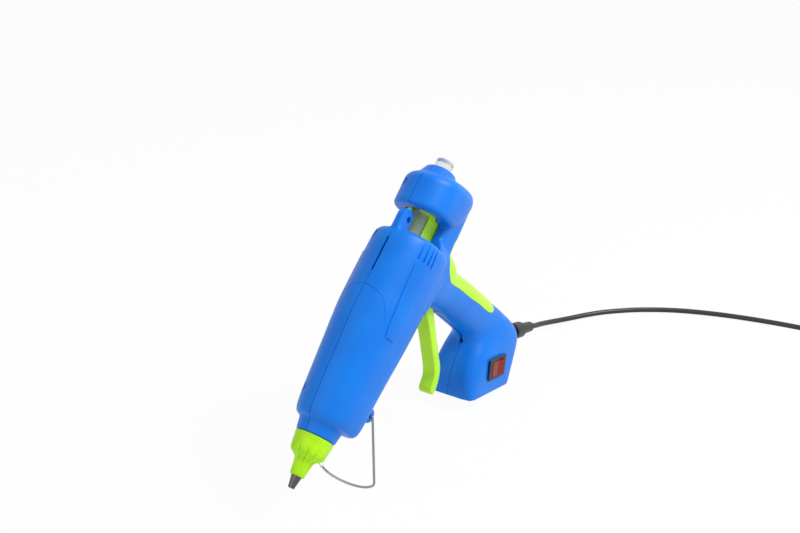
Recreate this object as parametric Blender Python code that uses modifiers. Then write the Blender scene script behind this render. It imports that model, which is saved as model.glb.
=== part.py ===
"""A mains hot glue gun for 11 mm sticks, standing nose down on its wire stand and the heel of its handle.

The gun is modelled along its stick: x runs forward to the nozzle tip, which is at zero, y is the gun's left and
z is up, square to the stick. An empty then tilts the whole gun nose down until it stands on the floor.
"""
import math

import bmesh
import bpy
from mathutils import Matrix, Vector

# Clearances and overruns
GAP = 0.0003
RUNNING_GAP = 0.0005
OVERRUN = 0.004
SEAM_GAP = 0.0003
WELD = 0.000005

# Points round the casing's rings, outside and inside
OUTER_POINTS = 28
INNER_POINTS = 16

# Shell walls
WALL = 0.0024
GRIP_WALL = 0.0046

# Barrel, measured back from the nozzle tip
BARREL_FRONT = 0.0392
BARREL_LENGTH = 0.1208
BARREL_REAR = BARREL_FRONT + BARREL_LENGTH
BARREL_RADIUS = 0.0224
KEEL_DEPTH = 0.0305
FACE_LEAN_SHARE = 0.1
# length share, top, half width and depth shares, squareness of the lower half
BARREL_STATION_SHARES = (
    (0.0, 0.66, 0.66, 0.57, 4.0),
    (0.010, 0.715, 0.735, 0.63, 4.0),
    (0.031, 0.755, 0.775, 0.665, 4.0),
    (0.075, 0.79, 0.81, 0.672, 4.0),
    (0.155, 0.84, 0.835, 0.684, 4.0),
    (0.26, 0.885, 0.872, 0.70, 4.0),
    (0.38, 0.935, 0.912, 0.735, 4.0),
    (0.50, 0.99, 0.948, 0.79, 3.8),
    (0.60, 1.0, 0.965, 0.845, 3.6),
    (0.70, 0.975, 0.96, 0.90, 3.4),
    (0.81, 0.955, 0.95, 0.96, 3.2),
    (0.93, 0.935, 0.935, 1.0, 3.0),
    (0.982, 0.895, 0.90, 0.98, 3.0),
    (1.0, 0.815, 0.82, 0.92, 3.0),
)

# Collar that the nozzle boot meets
COLLAR_FRONT = 0.0310
COLLAR_FRONT_RADIUS = 0.0119
COLLAR_REAR_RADIUS = 0.0137
COLLAR_BORE_RADIUS = 0.0094
COLLAR_LIP = 0.0010

# Bridge under the window, from the barrel to the rear head
BRIDGE_TOP = 0.0125
BRIDGE_BOTTOM = 0.0345
BRIDGE_HALF_WIDTH = 0.0129
BRIDGE_ROOT = 0.0350
BRIDGE_START = BARREL_REAR - BRIDGE_ROOT
BRIDGE_LENGTH = 0.0780
# length share, half width share, top share, bottom share
BRIDGE_STATION_SHARES = (
    (0.0, 1.30, 0.80, 0.90),
    (0.22, 1.40, 0.85, 0.94),
    (0.36, 1.30, 0.95, 0.98),
    (0.46, 1.14, 1.0, 1.0),
    (0.58, 1.02, 1.0, 1.0),
    (0.72, 1.0, 1.0, 1.0),
    (0.90, 1.0, 1.0, 0.99),
    (1.0, 0.86, 1.05, 0.92),
)
BRIDGE_SQUARENESS = 3.2

# Ring head at the rear, which guides the stick
WINDOW_LENGTH = 0.0172
HEAD_FRONT = BARREL_REAR + WINDOW_LENGTH
HEAD_LENGTH = 0.0258
HEAD_RADIUS = 0.0183
HEAD_DEPTH = 0.0365
HEAD_FRONT_BORE_RADIUS = 0.0103
# length share, radius share, depth share, lean share
HEAD_STATION_SHARES = (
    (0.0, 0.92, 0.56, 0.10),
    (0.07, 1.0, 0.66, 0.10),
    (0.30, 1.0, 0.88, 0.13),
    (0.74, 1.0, 1.0, 0.18),
    (0.92, 0.90, 0.92, 0.23),
    (1.0, 0.72, 0.72, 0.24),
)
HEAD_SQUARENESS = 2.4
REAR_COLLAR_LENGTH = 0.0065
REAR_COLLAR_BASE_RADIUS = 0.0128
REAR_COLLAR_RADIUS = 0.0094
REAR_COLLAR_SETBACK = 0.0298
REAR_COLLAR_X = HEAD_FRONT + REAR_COLLAR_SETBACK
STICK_BORE_RADIUS = 0.0063

# Hanging eye behind the barrel's top
EYE_RADIUS = 0.0065
EYE_SETBACK = 0.0062
EYE_X = BARREL_REAR + EYE_SETBACK
EYE_Z = 0.0133
EYE_HALF_THICKNESS = 0.0028
EYE_HOLE_RADIUS = 0.0021

# Handle, from the barrel down to the base
GRIP_ADVANCE = 0.0165
GRIP_FRONT_X = BARREL_REAR - GRIP_ADVANCE
GRIP_DEPTH = 0.0305
GRIP_HALF_WIDTH = 0.0130
GRIP_DROP = 0.1100
BASE_HALF_WIDTH = 0.0182
BASE_LENGTH = 0.0534
BASE_SLOPE = math.radians(53.0)
TOE_ADVANCE = 0.0547
TOE_X = BARREL_REAR - TOE_ADVANCE
TOE_Z = 0.1234
# front x and rear x in grip depths behind the grip's front line, front z and rear z in grip drops,
# half width in grip half widths, squareness
GRIP_STATION_SHARES = (
    (-0.51, 0.93, 0.11, 0.11, 1.36, 2.8),
    (-0.41, 0.91, 0.273, 0.36, 1.22, 2.7),
    (-0.213, 0.80, 0.436, 0.473, 1.07, 2.5),
    (-0.098, 0.897, 0.60, 0.682, 1.0, 2.4),
    (-0.033, 0.98, 0.782, 0.891, 0.98, 2.4),
    (0.0, 1.04, 0.927, 1.073, 0.97, 2.4),
    (-0.098, 1.066, 0.995, 1.20, 1.06, 2.8),
)
# front and rear points in base lengths along the base from the toe and up from it,
# half width in base half widths, squareness
BASE_STATION_SHARES = (
    (0.098, 0.53, 1.114, 0.807, 0.90, 3.6),
    (0.0, 0.30, 1.22, 0.62, 0.985, 5.0),
    (-0.02, 0.10, 1.13, 0.36, 1.0, 7.0),
    (0.0, 0.0, 1.0, 0.0, 1.0, 9.0),
)

# Rest pose
REST_TILT = math.radians(44.0)

# Lugs and wire stand
LUG_X = 0.0562
LUG_Z = 0.0200
LUG_RADIUS = 0.0046
LUG_OUTER_Y = 0.0150
LUG_INNER_Y = 0.0090
WIRE_RADIUS = 0.00075
WIRE_LEG_Y = 0.0166
WIRE_HINGE_BEND = 0.0012
WIRE_FOOT_Y = 0.0203
WIRE_FOOT_DEPTH = 0.0072
WIRE_FOOT_STEP = 0.0016
WIRE_HOLE_END_Y = 0.0100
# the foot from its leg to its middle: distance to the seam in shares of its corner's, drop in foot depths
WIRE_FOOT_SHARES = (
    (1.0, 0.0), (0.985, 0.22), (0.92, 0.41), (0.75, 0.68), (0.55, 0.85), (0.36, 0.94), (0.18, 0.985),
)
STAND_LEAN = math.radians(6.0)

# Glue stick
STICK_RADIUS = 0.0056
STICK_PROJECTION = 0.0073
STICK_REAR = REAR_COLLAR_X + STICK_PROJECTION
STICK_FRONT = 0.0620

# Nozzle and boot
NOZZLE_TIP_RADIUS = 0.00185
NOZZLE_NECK_RADIUS = 0.0031
NOZZLE_NECK_X = 0.0070
NOZZLE_BODY_RADIUS = 0.0036
NOZZLE_HEX_FRONT = 0.0219
NOZZLE_HEX_RADIUS = 0.0064
NOZZLE_HEX_REAR = 0.0250
NOZZLE_THREAD_RADIUS = 0.0038
NOZZLE_THREAD_LENGTH = 0.0065
NOZZLE_HOLE_RADIUS = 0.0009
NOZZLE_FEED_RADIUS = 0.0021
BOOT_LIP_X = 0.0072
BOOT_LIP_RADIUS = 0.0042
BOOT_CONE_X = 0.0176
BOOT_CONE_RADIUS = 0.0057
BOOT_SHOULDER_X = 0.0205
BOOT_SHOULDER_RADIUS = 0.0103
BOOT_REAR_RADIUS = 0.0116
BOOT_WALL = 0.0011

# Melt chamber
CHAMBER_RADIUS = 0.0080
CHAMBER_BORE_RADIUS = 0.0059
CHAMBER_BORE_FRONT = 0.0440
CHAMBER_THROAT_TAPER = 0.0040
CHAMBER_ADVANCE = 0.0680
CHAMBER_REAR = BARREL_REAR - CHAMBER_ADVANCE
SPIGOT_RADIUS = 0.0070
SPIGOT_LENGTH = 0.0080
SPIGOT_REAR = CHAMBER_REAR + SPIGOT_LENGTH
POCKET_FRONT = 0.0480
POCKET_ADVANCE = 0.0080
POCKET_REAR = CHAMBER_REAR - POCKET_ADVANCE
POCKET_HALF_WIDTH = 0.0078
POCKET_DEPTH = 0.0145
SLOT_HALF_WIDTH = 0.0060
SLOT_TOP = 0.0092
SLOT_BOTTOM = 0.0132
HEATER_END_SPACE = 0.0035
HEATER_LENGTH = POCKET_REAR - POCKET_FRONT - 2 * HEATER_END_SPACE
HEATER_THICKNESS = 0.0026
HEATER_CLIP_THICKNESS = 0.0005
HEATER_CLIP_TAB = 0.0018

# Insulators and the shell webs that carry them
INSULATOR_RADIUS = 0.0108
INSULATOR_LIP = 0.0013
INSULATOR_LENGTH = 0.0042
FRONT_INSULATOR_X = 0.0360
REAR_INSULATOR_ADVANCE = 0.0060
REAR_INSULATOR_X = CHAMBER_REAR - REAR_INSULATOR_ADVANCE
WEB_THICKNESS = 0.0020
SLEEVE_WEB_X = SPIGOT_REAR

# Feed sleeve and its clip
SLEEVE_RADIUS = 0.0088
SLEEVE_OVERHANG = 0.0145
SLEEVE_REAR = SPIGOT_REAR + SLEEVE_OVERHANG
CLIP_SETBACK = 0.0040
CLIP_X = CHAMBER_REAR + CLIP_SETBACK
CLIP_WIRE_RADIUS = 0.0005

# Trigger
TRIGGER_HALF_WIDTH = 0.0048
TRIGGER_BEVEL = 0.0006
PIVOT_ADVANCE = 0.0210
PIVOT_X = BARREL_REAR - PIVOT_ADVANCE
PIVOT_Z = 0.0400
PIVOT_BOSS_RADIUS = 0.0048
PIVOT_PIN_RADIUS = 0.0015
PIVOT_PIN_HALF_LENGTH = 0.0100
ARM_SWING = math.radians(24.0)
ARM_LENGTH = 0.0280
ARM_HALF_WIDTH = 0.0024
ARM_HALF_DEPTH = 0.0030
DRIVE_PIN_RADIUS = 0.0014
DRIVE_PIN_HALF_LENGTH = 0.0058
# the way cut for the trigger, ahead of the pivot and below it, in arm lengths
OPENING_OUTLINE_SHARES = (
    (-0.25, -0.25), (0.75, -0.25), (0.75, 1.05), (0.04, 1.0), (-0.12, 0.55), (-0.25, 0.35),
)
# the blade's outline from the pivot, in arm lengths: ahead of it and below it
TRIGGER_OUTLINE_SHARES = (
    (0.16, 0.06), (0.285, 0.32), (0.45, 0.61), (0.74, 1.09), (1.035, 1.55), (1.18, 1.71), (1.34, 1.765),
    (1.48, 1.80), (1.545, 1.89), (1.52, 2.00), (1.395, 2.035), (1.18, 1.98), (0.945, 1.84), (0.80, 1.66),
    (0.70, 1.48), (0.06, 0.48), (-0.07, 0.21), (-0.16, 0.06),
)

# Feed carriage
CARRIAGE_HALF_WIDTH = 0.0064
CARRIAGE_CLEARANCE = 0.0005
CARRIAGE_BOTTOM = 0.0155
CARRIAGE_RING_RADIUS = 0.0093
CARRIAGE_BORE_RADIUS = 0.0064
CARRIAGE_ADVANCE = 0.0320
CARRIAGE_FRONT = BARREL_REAR - CARRIAGE_ADVANCE
CARRIAGE_RING_LENGTH = 0.0120
CARRIAGE_LENGTH = 0.0550
CARRIAGE_REAR = CARRIAGE_FRONT + CARRIAGE_LENGTH
CARRIAGE_REAR_RING_LENGTH = 0.0070
CARRIAGE_FLANGE_RADIUS = 0.0116
CARRIAGE_FLANGE_LENGTH = 0.0018
ARM_POCKET_HALF_LENGTH = 0.0050
ARM_POCKET_ROOF = 0.0086
RAIL_GAP = 0.0034
RAIL_LEAD = 0.0030
RAIL_FRONT = CARRIAGE_FRONT - RAIL_LEAD
RAIL_THICKNESS = 0.0022

# Grip jaw
JAW_HALF_WIDTH = 0.0020
JAW_LENGTH = 0.0054
JAW_PIN_SETBACK = 0.0086
JAW_PIN_X = CARRIAGE_FRONT + JAW_PIN_SETBACK
JAW_PIN_Z = 0.0094
JAW_PIN_RADIUS = 0.0010
JAW_BITE_GAP = 0.0009
JAW_EYE_RADIUS = 0.0022
JAW_TEETH = 4
JAW_TOOTH_DEPTH = 0.0004
JAW_EAR_HALF_WIDTH = 0.0054
JAW_EAR_TOP = 0.0120
JAW_POCKET_END = 0.0008

# Return spring
SPRING_WIRE_RADIUS = 0.0005
SPRING_RADIUS = 0.0102
SPRING_TURNS = 7
SPRING_POINTS = 10

# Screws
SCREW_HEAD_RADIUS = 0.0026
SCREW_HEAD_HEIGHT = 0.0018
SCREW_SHANK_RADIUS = 0.0013
SCREW_LENGTH = 0.0110
SCREW_SEAT_Y = 0.0050
BOSS_RADIUS = 0.0036
RECESS_RADIUS = 0.0030
DRIVER_SLOT_RADIUS = 0.0011
DRIVER_SLOT_DEPTH = 0.0009
SCREW_REAR_ADVANCE = 0.0075
SCREW_HEAD_SETBACK = 0.0128
SCREW_KEEL_ADVANCE = 0.0570
SCREW_GRIP_SETBACK = 0.0085
# name, distance behind the tip, height over the stick
SCREWS = (
    ("shell_screw_front", 0.0535, 0.0122),
    ("shell_screw_rear", BARREL_REAR - SCREW_REAR_ADVANCE, 0.0145),
    ("shell_screw_head", HEAD_FRONT + SCREW_HEAD_SETBACK, 0.0130),
    ("shell_screw_keel", BARREL_REAR - SCREW_KEEL_ADVANCE, -0.0160),
    ("shell_screw_grip", GRIP_FRONT_X + SCREW_GRIP_SETBACK, -0.0720),
)
# name, distance along the base from the toe, height over the base
BASE_SCREWS = (
    ("shell_screw_toe", 0.0090, 0.0135),
    ("shell_screw_heel", 0.0400, 0.0470),
)

# Vents and the slot along the top seam
TOP_SLOT_ADVANCE = 0.0320
TOP_SLOT_FRONT = BARREL_REAR - TOP_SLOT_ADVANCE
TOP_SLOT_LENGTH = 0.0225
TOP_SLOT_HALF_WIDTH = 0.0007
VENT_LENGTH = 0.0145
VENT_HALF_WIDTH = 0.00095
VENT_DEPTH = 0.0010
VENT_COUNT = 4
VENT_SURFACE_SHARE = 0.945
VENT_FIRST_ANGLE = math.radians(59.0)
VENT_STEP_ANGLE = math.radians(12.0)

# Finger slit down the front of the handle
SLIT_HALF_WIDTH = 0.0008
SLIT_DEPTH = 0.0030
SLIT_HOLE_RADIUS = 0.0015

# Backstrap
STRAP_DEPTH = 0.0020
# its edge: depth behind the grip's front line in grip depths, drop in grip drops
STRAP_EDGE_SHARES = (
    (1.06, 0.259), (0.71, 0.259), (0.48, 0.284), (0.36, 0.352), (0.365, 0.396), (0.46, 0.527), (0.525, 0.672),
    (0.61, 0.818), (0.65, 0.93), (0.70, 0.99), (0.78, 1.025), (0.90, 1.035), (1.30, 1.035), (1.45, 0.80),
    (1.45, 0.50), (1.50, 0.36), (1.30, 0.30),
)

# Rocker switch
SWITCH_ALONG_SHARE = 0.5487
SWITCH_ALONG = SWITCH_ALONG_SHARE * BASE_LENGTH
SWITCH_UP = 0.0180
BEZEL_LENGTH = 0.0215
BEZEL_WIDTH = 0.0152
BEZEL_HEIGHT = 0.0016
SWITCH_BODY_LENGTH = 0.0186
SWITCH_BODY_WIDTH = 0.0124
SWITCH_BODY_DEPTH = 0.0125
ROCKER_LENGTH = 0.0150
ROCKER_WIDTH = 0.0104
ROCKER_DEPTH = 0.0060
ROCKER_PIVOT_DEPTH = 0.0022
ROCKER_END_RISE = 0.0026
ROCKER_MIDDLE_RISE = 0.0018
ROCKER_PIN_RADIUS = 0.0008
ROCKER_TRAVEL = math.radians(14.0)
TERMINAL_LENGTH = 0.0070
TERMINAL_HALF_WIDTH = 0.0024
TERMINAL_HALF_THICKNESS = 0.0004
TERMINAL_PITCH = 0.0062

# Strain relief, on the seam, at a share of the way up the base's rear face
RELIEF_RISE_SHARE = 0.85
RELIEF_DROOP = math.radians(13.6)
RELIEF_LENGTH = 0.0480
RELIEF_FLANGE_RADIUS = 0.0052
RELIEF_FLANGE_LENGTH = 0.0030
RELIEF_SINK = 0.0014
RELIEF_NECK_RADIUS = 0.0034
RELIEF_INNER_FLANGE = 0.0016
RELIEF_SLEEVE_RADIUS = 0.0043
RELIEF_COLLAR_RADIUS = 0.0060
RELIEF_COLLAR_X = 0.0200
RELIEF_COLLAR_LENGTH = 0.0110
RELIEF_COLLAR_ROUNDING = 0.0008
RELIEF_TIP_RADIUS = 0.0038
RELIEF_GROOVES = 4
RELIEF_GROOVE_DEPTH = 0.0007
RELIEF_SEAT_DEPTH = 0.0070
RELIEF_SEAT_WALL = 0.0020

# Cord clamp inside the base
CLAMP_LENGTH = 0.0060
CLAMP_HALF_WIDTH = 0.0080
CLAMP_THICKNESS = 0.0024
CLAMP_SCREW_Y = 0.0055
CLAMP_DEPTH = 0.0060

# Mains lead, its coil and its plug; points ahead of the relief's end, to its left, and height over the floor
CORD_RADIUS = 0.0020
CORD_STEP = 0.0080
CORD_ROUTE = (
    (-0.0080, 0.0, 0.0125), (-0.0180, 0.0002, 0.0101), (-0.0290, 0.0013, 0.0075), (-0.0420, 0.0040, 0.0049),
    (-0.0540, 0.0080, 0.0033), (-0.0690, 0.0155, 0.0025), (-0.0836, 0.0265, 0.0024), (-0.1016, 0.0460, 0.0024),
    (-0.1176, 0.0720, 0.0024), (-0.1296, 0.1040, 0.0024), (-0.1376, 0.1400, 0.0025), (-0.1416, 0.1750, 0.0027),
    (-0.1426, 0.2060, 0.0028),
)
COIL_RADIUS = 0.0215
COIL_PITCH = 0.0046
COIL_LAYERS = 4
COIL_TURNS = 2.25
COIL_POINTS = 24
COIL_LIFT = 0.0008
# the tail's points from the coil's middle, and height over the floor
TAIL_ROUTE = (
    (-0.0266, 0.0110, 0.0162), (-0.0250, 0.0190, 0.0148), (-0.0205, 0.0270, 0.0124), (-0.0135, 0.0335, 0.0098),
    (-0.0050, 0.0370, 0.0078), (0.0035, 0.0380, 0.0069),
)
TIE_WIDTH = 0.0060
TIE_THICKNESS = 0.0005
TIE_SLACK = 0.0005
PLUG_X = 0.0140
PLUG_Y = 0.0380
PLUG_LENGTH = 0.0360
PLUG_HALF_WIDTH = 0.0172
PLUG_HALF_THICKNESS = 0.0068
PLUG_NECK_RADIUS = 0.0042
PLUG_NECK_LENGTH = 0.0120
PLUG_PIN_RADIUS = 0.0020
PLUG_PIN_LENGTH = 0.0190
PLUG_PIN_PITCH = 0.0184
# the plug's outline: distance along it and half width, in shares of its length and half width
PLUG_OUTLINE_SHARES = ((0.0, 0.30), (0.12, 0.38), (0.42, 0.92), (0.55, 1.0), (0.80, 1.0), (0.90, 0.90), (1.0, 0.80))

PARTS_NAME = "hot_glue_gun"


def clear_scene():
    for item in list(bpy.data.objects):
        bpy.data.objects.remove(item, do_unlink=True)


def collection(name):
    group = bpy.data.collections.new(name)
    bpy.context.scene.collection.children.link(group)
    return group


def plastic(name, colour, roughness, metallic=0.0):
    """A Principled material of one colour."""
    made = bpy.data.materials.new(name)
    made.use_nodes = True
    shader = made.node_tree.nodes["Principled BSDF"]
    shader.inputs["Base Color"].default_value = (*colour, 1.0)
    shader.inputs["Roughness"].default_value = roughness
    shader.inputs["Metallic"].default_value = metallic
    return made


def link(item, group, material=None):
    group.objects.link(item)
    if material is not None:
        item.data.materials.clear()
        item.data.materials.append(material)
    return item


def from_bmesh(name, shape):
    bmesh.ops.recalc_face_normals(shape, faces=shape.faces)
    mesh = bpy.data.meshes.new(name)
    shape.to_mesh(mesh)
    shape.free()
    return bpy.data.objects.new(name, mesh)


def gun(behind, left, up):
    """A point of the gun, given by its distance behind the nozzle tip."""
    return Vector((-behind, left, up))


def box(name, low, high):
    """A box between two corners."""
    shape = bmesh.new()
    bmesh.ops.create_cube(shape, size=1.0)
    low, high = Vector(low), Vector(high)
    size = high - low
    bmesh.ops.scale(shape, vec=size, verts=shape.verts)
    bmesh.ops.translate(shape, vec=(low + high) / 2, verts=shape.verts)
    return from_bmesh(name, shape)


def rod(name, start, end, radius, end_radius=None, sides=24):
    """A round bar, or a cone, between two points."""
    start, end = Vector(start), Vector(end)
    axis = end - start
    shape = bmesh.new()
    last = radius if end_radius is None else end_radius
    bmesh.ops.create_cone(shape, cap_ends=True, segments=sides, radius1=radius, radius2=last, depth=axis.length)
    turn = Vector((0, 0, 1)).rotation_difference(axis.normalized()).to_matrix().to_4x4()
    bmesh.ops.transform(shape, matrix=Matrix.Translation((start + end) / 2) @ turn, verts=shape.verts)
    return from_bmesh(name, shape)


def turned(name, outline, steps=28):
    """A profile turned round the stick's axis: (distance behind the tip, radius) points, the outer side first,
    from the nozzle end to the rear, and back along the bore if there is one."""
    mesh = bpy.data.meshes.new(name)
    points = [(radius, 0.0, -behind) for behind, radius in outline]
    hollow = outline[0][1] > 0 and outline[-1][1] > 0
    edges = [(i, i + 1) for i in range(len(points) - 1)]
    if hollow:
        edges.append((len(points) - 1, 0))
    mesh.from_pydata(points, edges, [])
    item = bpy.data.objects.new(name, mesh)
    spin = item.modifiers.new("turn", "SCREW")
    spin.steps = steps
    spin.render_steps = steps
    spin.use_merge_vertices = True
    spin.merge_threshold = 0.00005
    # the profile's own z runs along the stick
    item.matrix_world = Matrix.Rotation(math.radians(90), 4, "Y")
    return freeze(item)


def evaluated_mesh(item):
    bpy.context.view_layer.update()
    graph = bpy.context.evaluated_depsgraph_get()
    return bpy.data.meshes.new_from_object(item.evaluated_get(graph), depsgraph=graph)


def freeze(item):
    """The item with its modifiers and its placing made part of its mesh."""
    if not item.users_collection:
        bpy.context.scene.collection.objects.link(item)
    mesh = evaluated_mesh(item)
    mesh.transform(item.matrix_world)
    made = bpy.data.objects.new(item.name, mesh)
    name = item.name
    bpy.data.objects.remove(item, do_unlink=True)
    made.name = name
    return made


def weld(item, turn_out=False):
    """Joins points that lie on each other, and drops faces and edges of no size."""
    shape = bmesh.new()
    shape.from_mesh(item.data)
    bmesh.ops.remove_doubles(shape, verts=shape.verts, dist=WELD)
    bmesh.ops.dissolve_degenerate(shape, edges=shape.edges, dist=WELD)
    rims = [edge for edge in shape.edges if edge.is_boundary]
    if rims:
        bmesh.ops.holes_fill(shape, edges=rims, sides=4)
    if turn_out:
        bmesh.ops.recalc_face_normals(shape, faces=shape.faces)
    shape.to_mesh(item.data)
    shape.free()
    return item


def plain_mesh(item):
    """A curve turned into a closed mesh."""
    return weld(freeze(item), True)


def loft(name, rings):
    """A closed solid through rings of equally many points."""
    shape = bmesh.new()
    loops = [[shape.verts.new(point) for point in ring] for ring in rings]
    count = len(rings[0])
    for lower, upper in zip(loops, loops[1:]):
        for i in range(count):
            j = (i + 1) % count
            shape.faces.new((lower[i], lower[j], upper[j], upper[i]))
    shape.faces.new(list(reversed(loops[0])))
    shape.faces.new(loops[-1])
    return from_bmesh(name, shape)


def plate(name, outline, half_thickness, bevel=0.0):
    """A flat outline of (behind, up) points, thickened to both sides of the seam."""
    curve = bpy.data.curves.new(name, "CURVE")
    curve.dimensions = "2D"
    curve.fill_mode = "BOTH"
    curve.extrude = half_thickness - bevel
    if bevel > 0:
        curve.bevel_depth = bevel
        curve.bevel_resolution = 1
        curve.offset = -bevel
    spline = curve.splines.new("POLY")
    spline.points.add(len(outline) - 1)
    for point, (behind, up) in zip(spline.points, outline):
        point.co = (-behind, up, 0.0, 1.0)
    spline.use_cyclic_u = True
    item = bpy.data.objects.new(name, curve)
    item.matrix_world = Matrix.Rotation(math.radians(90), 4, "X")
    return plain_mesh(item)


def tube(name, points, radius, resolution=2, cyclic=False):
    """A wire of round section along a list of points."""
    curve = bpy.data.curves.new(name, "CURVE")
    curve.dimensions = "3D"
    curve.bevel_depth = radius
    curve.bevel_resolution = resolution
    curve.use_fill_caps = not cyclic
    spline = curve.splines.new("POLY")
    spline.points.add(len(points) - 1)
    for slot, point in zip(spline.points, points):
        slot.co = (*point, 1.0)
    spline.use_cyclic_u = cyclic
    return bpy.data.objects.new(name, curve)


def smooth_path(knots, step):
    """Evenly spaced points of a smooth curve through the knots."""
    knots = [Vector(knot) for knot in knots]
    ends = [2 * knots[0] - knots[1]] + knots + [2 * knots[-1] - knots[-2]]
    fine = []
    parts = 24
    for before, start, end, after in zip(ends, ends[1:], ends[2:], ends[3:]):
        for i in range(parts):
            s = i / parts
            fine.append(0.5 * (2 * start + (end - before) * s
                               + (2 * before - 5 * start + 4 * end - after) * s ** 2
                               + (3 * start - 3 * end + after - before) * s ** 3))
    fine.append(knots[-1])
    total = sum((b - a).length for a, b in zip(fine, fine[1:]))
    count = max(2, round(total / step))
    spacing = total / count
    points = [fine[0]]
    travelled = 0.0
    for a, b in zip(fine, fine[1:]):
        piece = (b - a).length
        while travelled + piece >= spacing * len(points) and len(points) < count:
            share = (spacing * len(points) - travelled) / piece
            points.append(a.lerp(b, share))
        travelled += piece
    points.append(fine[-1])
    return points


def combine(item, other, operation):
    """One solid from two: UNION, DIFFERENCE or INTERSECT. The second one is used up."""
    for piece in (item, other):
        if not piece.users_collection:
            bpy.context.scene.collection.objects.link(piece)
    step = item.modifiers.new(operation.lower(), "BOOLEAN")
    step.operation = operation
    step.object = other
    made = weld(freeze(item))
    bpy.data.objects.remove(other, do_unlink=True)
    return made


def copy_of(item, name):
    made = bpy.data.objects.new(name, item.data.copy())
    made.matrix_world = item.matrix_world
    return made


def power(value, exponent):
    return math.copysign(abs(value) ** exponent, value)


def ring_angles(count):
    return [2 * math.pi * i / count for i in range(count)]


def upright_ring(behind, half_width, top, bottom, squareness, lean=0.0, count=32, upper_squareness=2.0):
    """A ring across the stick: round over the axis, squarer under it."""
    ring = []
    for angle in ring_angles(count):
        across, height = math.sin(angle), math.cos(angle)
        square = upper_squareness if height > 0 else squareness
        reach = top if height > 0 else bottom
        up = reach * power(height, 2 / square)
        ring.append(gun(behind - lean * up, half_width * power(across, 2 / square), up))
    return ring


def shrink(share, length, inset):
    """A share of a length, moved in from both ends."""
    return inset + share * (length - 2 * inset)


def barrel_loft(name, inset=0.0, count=OUTER_POINTS):
    rings = []
    for share, top, half, depth, squareness in BARREL_STATION_SHARES:
        behind = BARREL_FRONT + shrink(share, BARREL_LENGTH, inset)
        rings.append(upright_ring(behind, half * BARREL_RADIUS - inset, top * BARREL_RADIUS - inset,
                                  depth * KEEL_DEPTH - inset, squareness, FACE_LEAN_SHARE * share, count))
    return loft(name, rings)


def bridge_loft(name, inset=0.0, top_inset=0.0, count=OUTER_POINTS):
    rings = []
    for share, half, top, bottom in BRIDGE_STATION_SHARES:
        behind = BRIDGE_START + shrink(share, BRIDGE_LENGTH, inset)
        high = -BRIDGE_TOP * top - top_inset
        low = -BRIDGE_BOTTOM * bottom + inset
        middle, reach = (high + low) / 2, (high - low) / 2
        ring = upright_ring(behind, half * BRIDGE_HALF_WIDTH - inset, reach, reach, BRIDGE_SQUARENESS,
                            0.0, count, 2 * BRIDGE_SQUARENESS)
        rings.append([point + Vector((0, 0, middle)) for point in ring])
    return loft(name, rings)


def head_loft(name, inset=0.0, count=OUTER_POINTS):
    rings = []
    for share, radius, depth, lean in HEAD_STATION_SHARES:
        behind = HEAD_FRONT + shrink(share, HEAD_LENGTH, inset)
        rings.append(upright_ring(behind, radius * HEAD_RADIUS - inset, radius * HEAD_RADIUS - inset,
                                  depth * HEAD_DEPTH - inset, HEAD_SQUARENESS, lean, count))
    return loft(name, rings)


def base_point(along, up, left=0.0):
    """A point given along the base from its toe, and up from it."""
    return (gun(TOE_X, left, -TOE_Z) + along * Vector((-math.cos(BASE_SLOPE), 0, -math.sin(BASE_SLOPE)))
            + up * Vector((-math.sin(BASE_SLOPE), 0, math.cos(BASE_SLOPE))))


def slanted_ring(front, rear, half_width, squareness, count):
    """A ring square to the seam, between a front and a rear point on it."""
    middle, reach = (front + rear) / 2, (front - rear) / 2
    ring = []
    for angle in ring_angles(count):
        left = half_width * power(math.sin(angle), 2 / squareness)
        ring.append(middle + reach * power(math.cos(angle), 2 / squareness) + Vector((0, left, 0)))
    return ring


def grip_point(depth_share, drop_share):
    return gun(GRIP_FRONT_X + depth_share * GRIP_DEPTH, 0.0, -drop_share * GRIP_DROP)


def grip_stations():
    """Front point, rear point, half width and squareness of each ring, from the barrel down to the sole."""
    stations = []
    for front_x, rear_x, front_z, rear_z, half, squareness in GRIP_STATION_SHARES:
        front, rear = grip_point(front_x, front_z), grip_point(rear_x, rear_z)
        stations.append((front, rear, half * GRIP_HALF_WIDTH, squareness))
    for front_along, front_up, rear_along, rear_up, half, squareness in BASE_STATION_SHARES:
        front = base_point(front_along * BASE_LENGTH, front_up * BASE_LENGTH)
        rear = base_point(rear_along * BASE_LENGTH, rear_up * BASE_LENGTH)
        stations.append((front, rear, half * BASE_HALF_WIDTH, squareness))
    return stations


def grip_loft(name, front_inset=0.0, rear_inset=0.0, side_inset=0.0, base_inset=0.0, count=OUTER_POINTS):
    """The handle and base, or with insets a smaller one inside it."""
    rings = []
    stations = grip_stations()
    neck = len(GRIP_STATION_SHARES)
    for i, (front, rear, half, squareness) in enumerate(stations):
        in_base = i >= neck
        ahead = (front - rear).normalized()
        front_cut, rear_cut, side_cut = front_inset, rear_inset, side_inset
        if in_base:
            front_cut, rear_cut, side_cut = base_inset, base_inset, base_inset
        lift = Vector((0, 0, 0))
        if i == len(stations) - 1:
            lift = base_inset * Vector((-math.sin(BASE_SLOPE), 0, math.cos(BASE_SLOPE)))
        elif base_inset > 0 and i == len(stations) - 2:
            continue
        rings.append(slanted_ring(front - ahead * front_cut + lift, rear + ahead * rear_cut + lift,
                                  half - side_cut, squareness, count))
    return loft(name, rings)


def slab(name, front, rear, half_width, low, high):
    """A box along the stick, centred on the seam."""
    return box(name, gun(rear, -half_width, low), gun(front, half_width, high))


def all_of(pieces):
    """The union of a list of solids."""
    body = pieces[0]
    for piece in pieces[1:]:
        body = combine(body, piece, "UNION")
    return body


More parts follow.
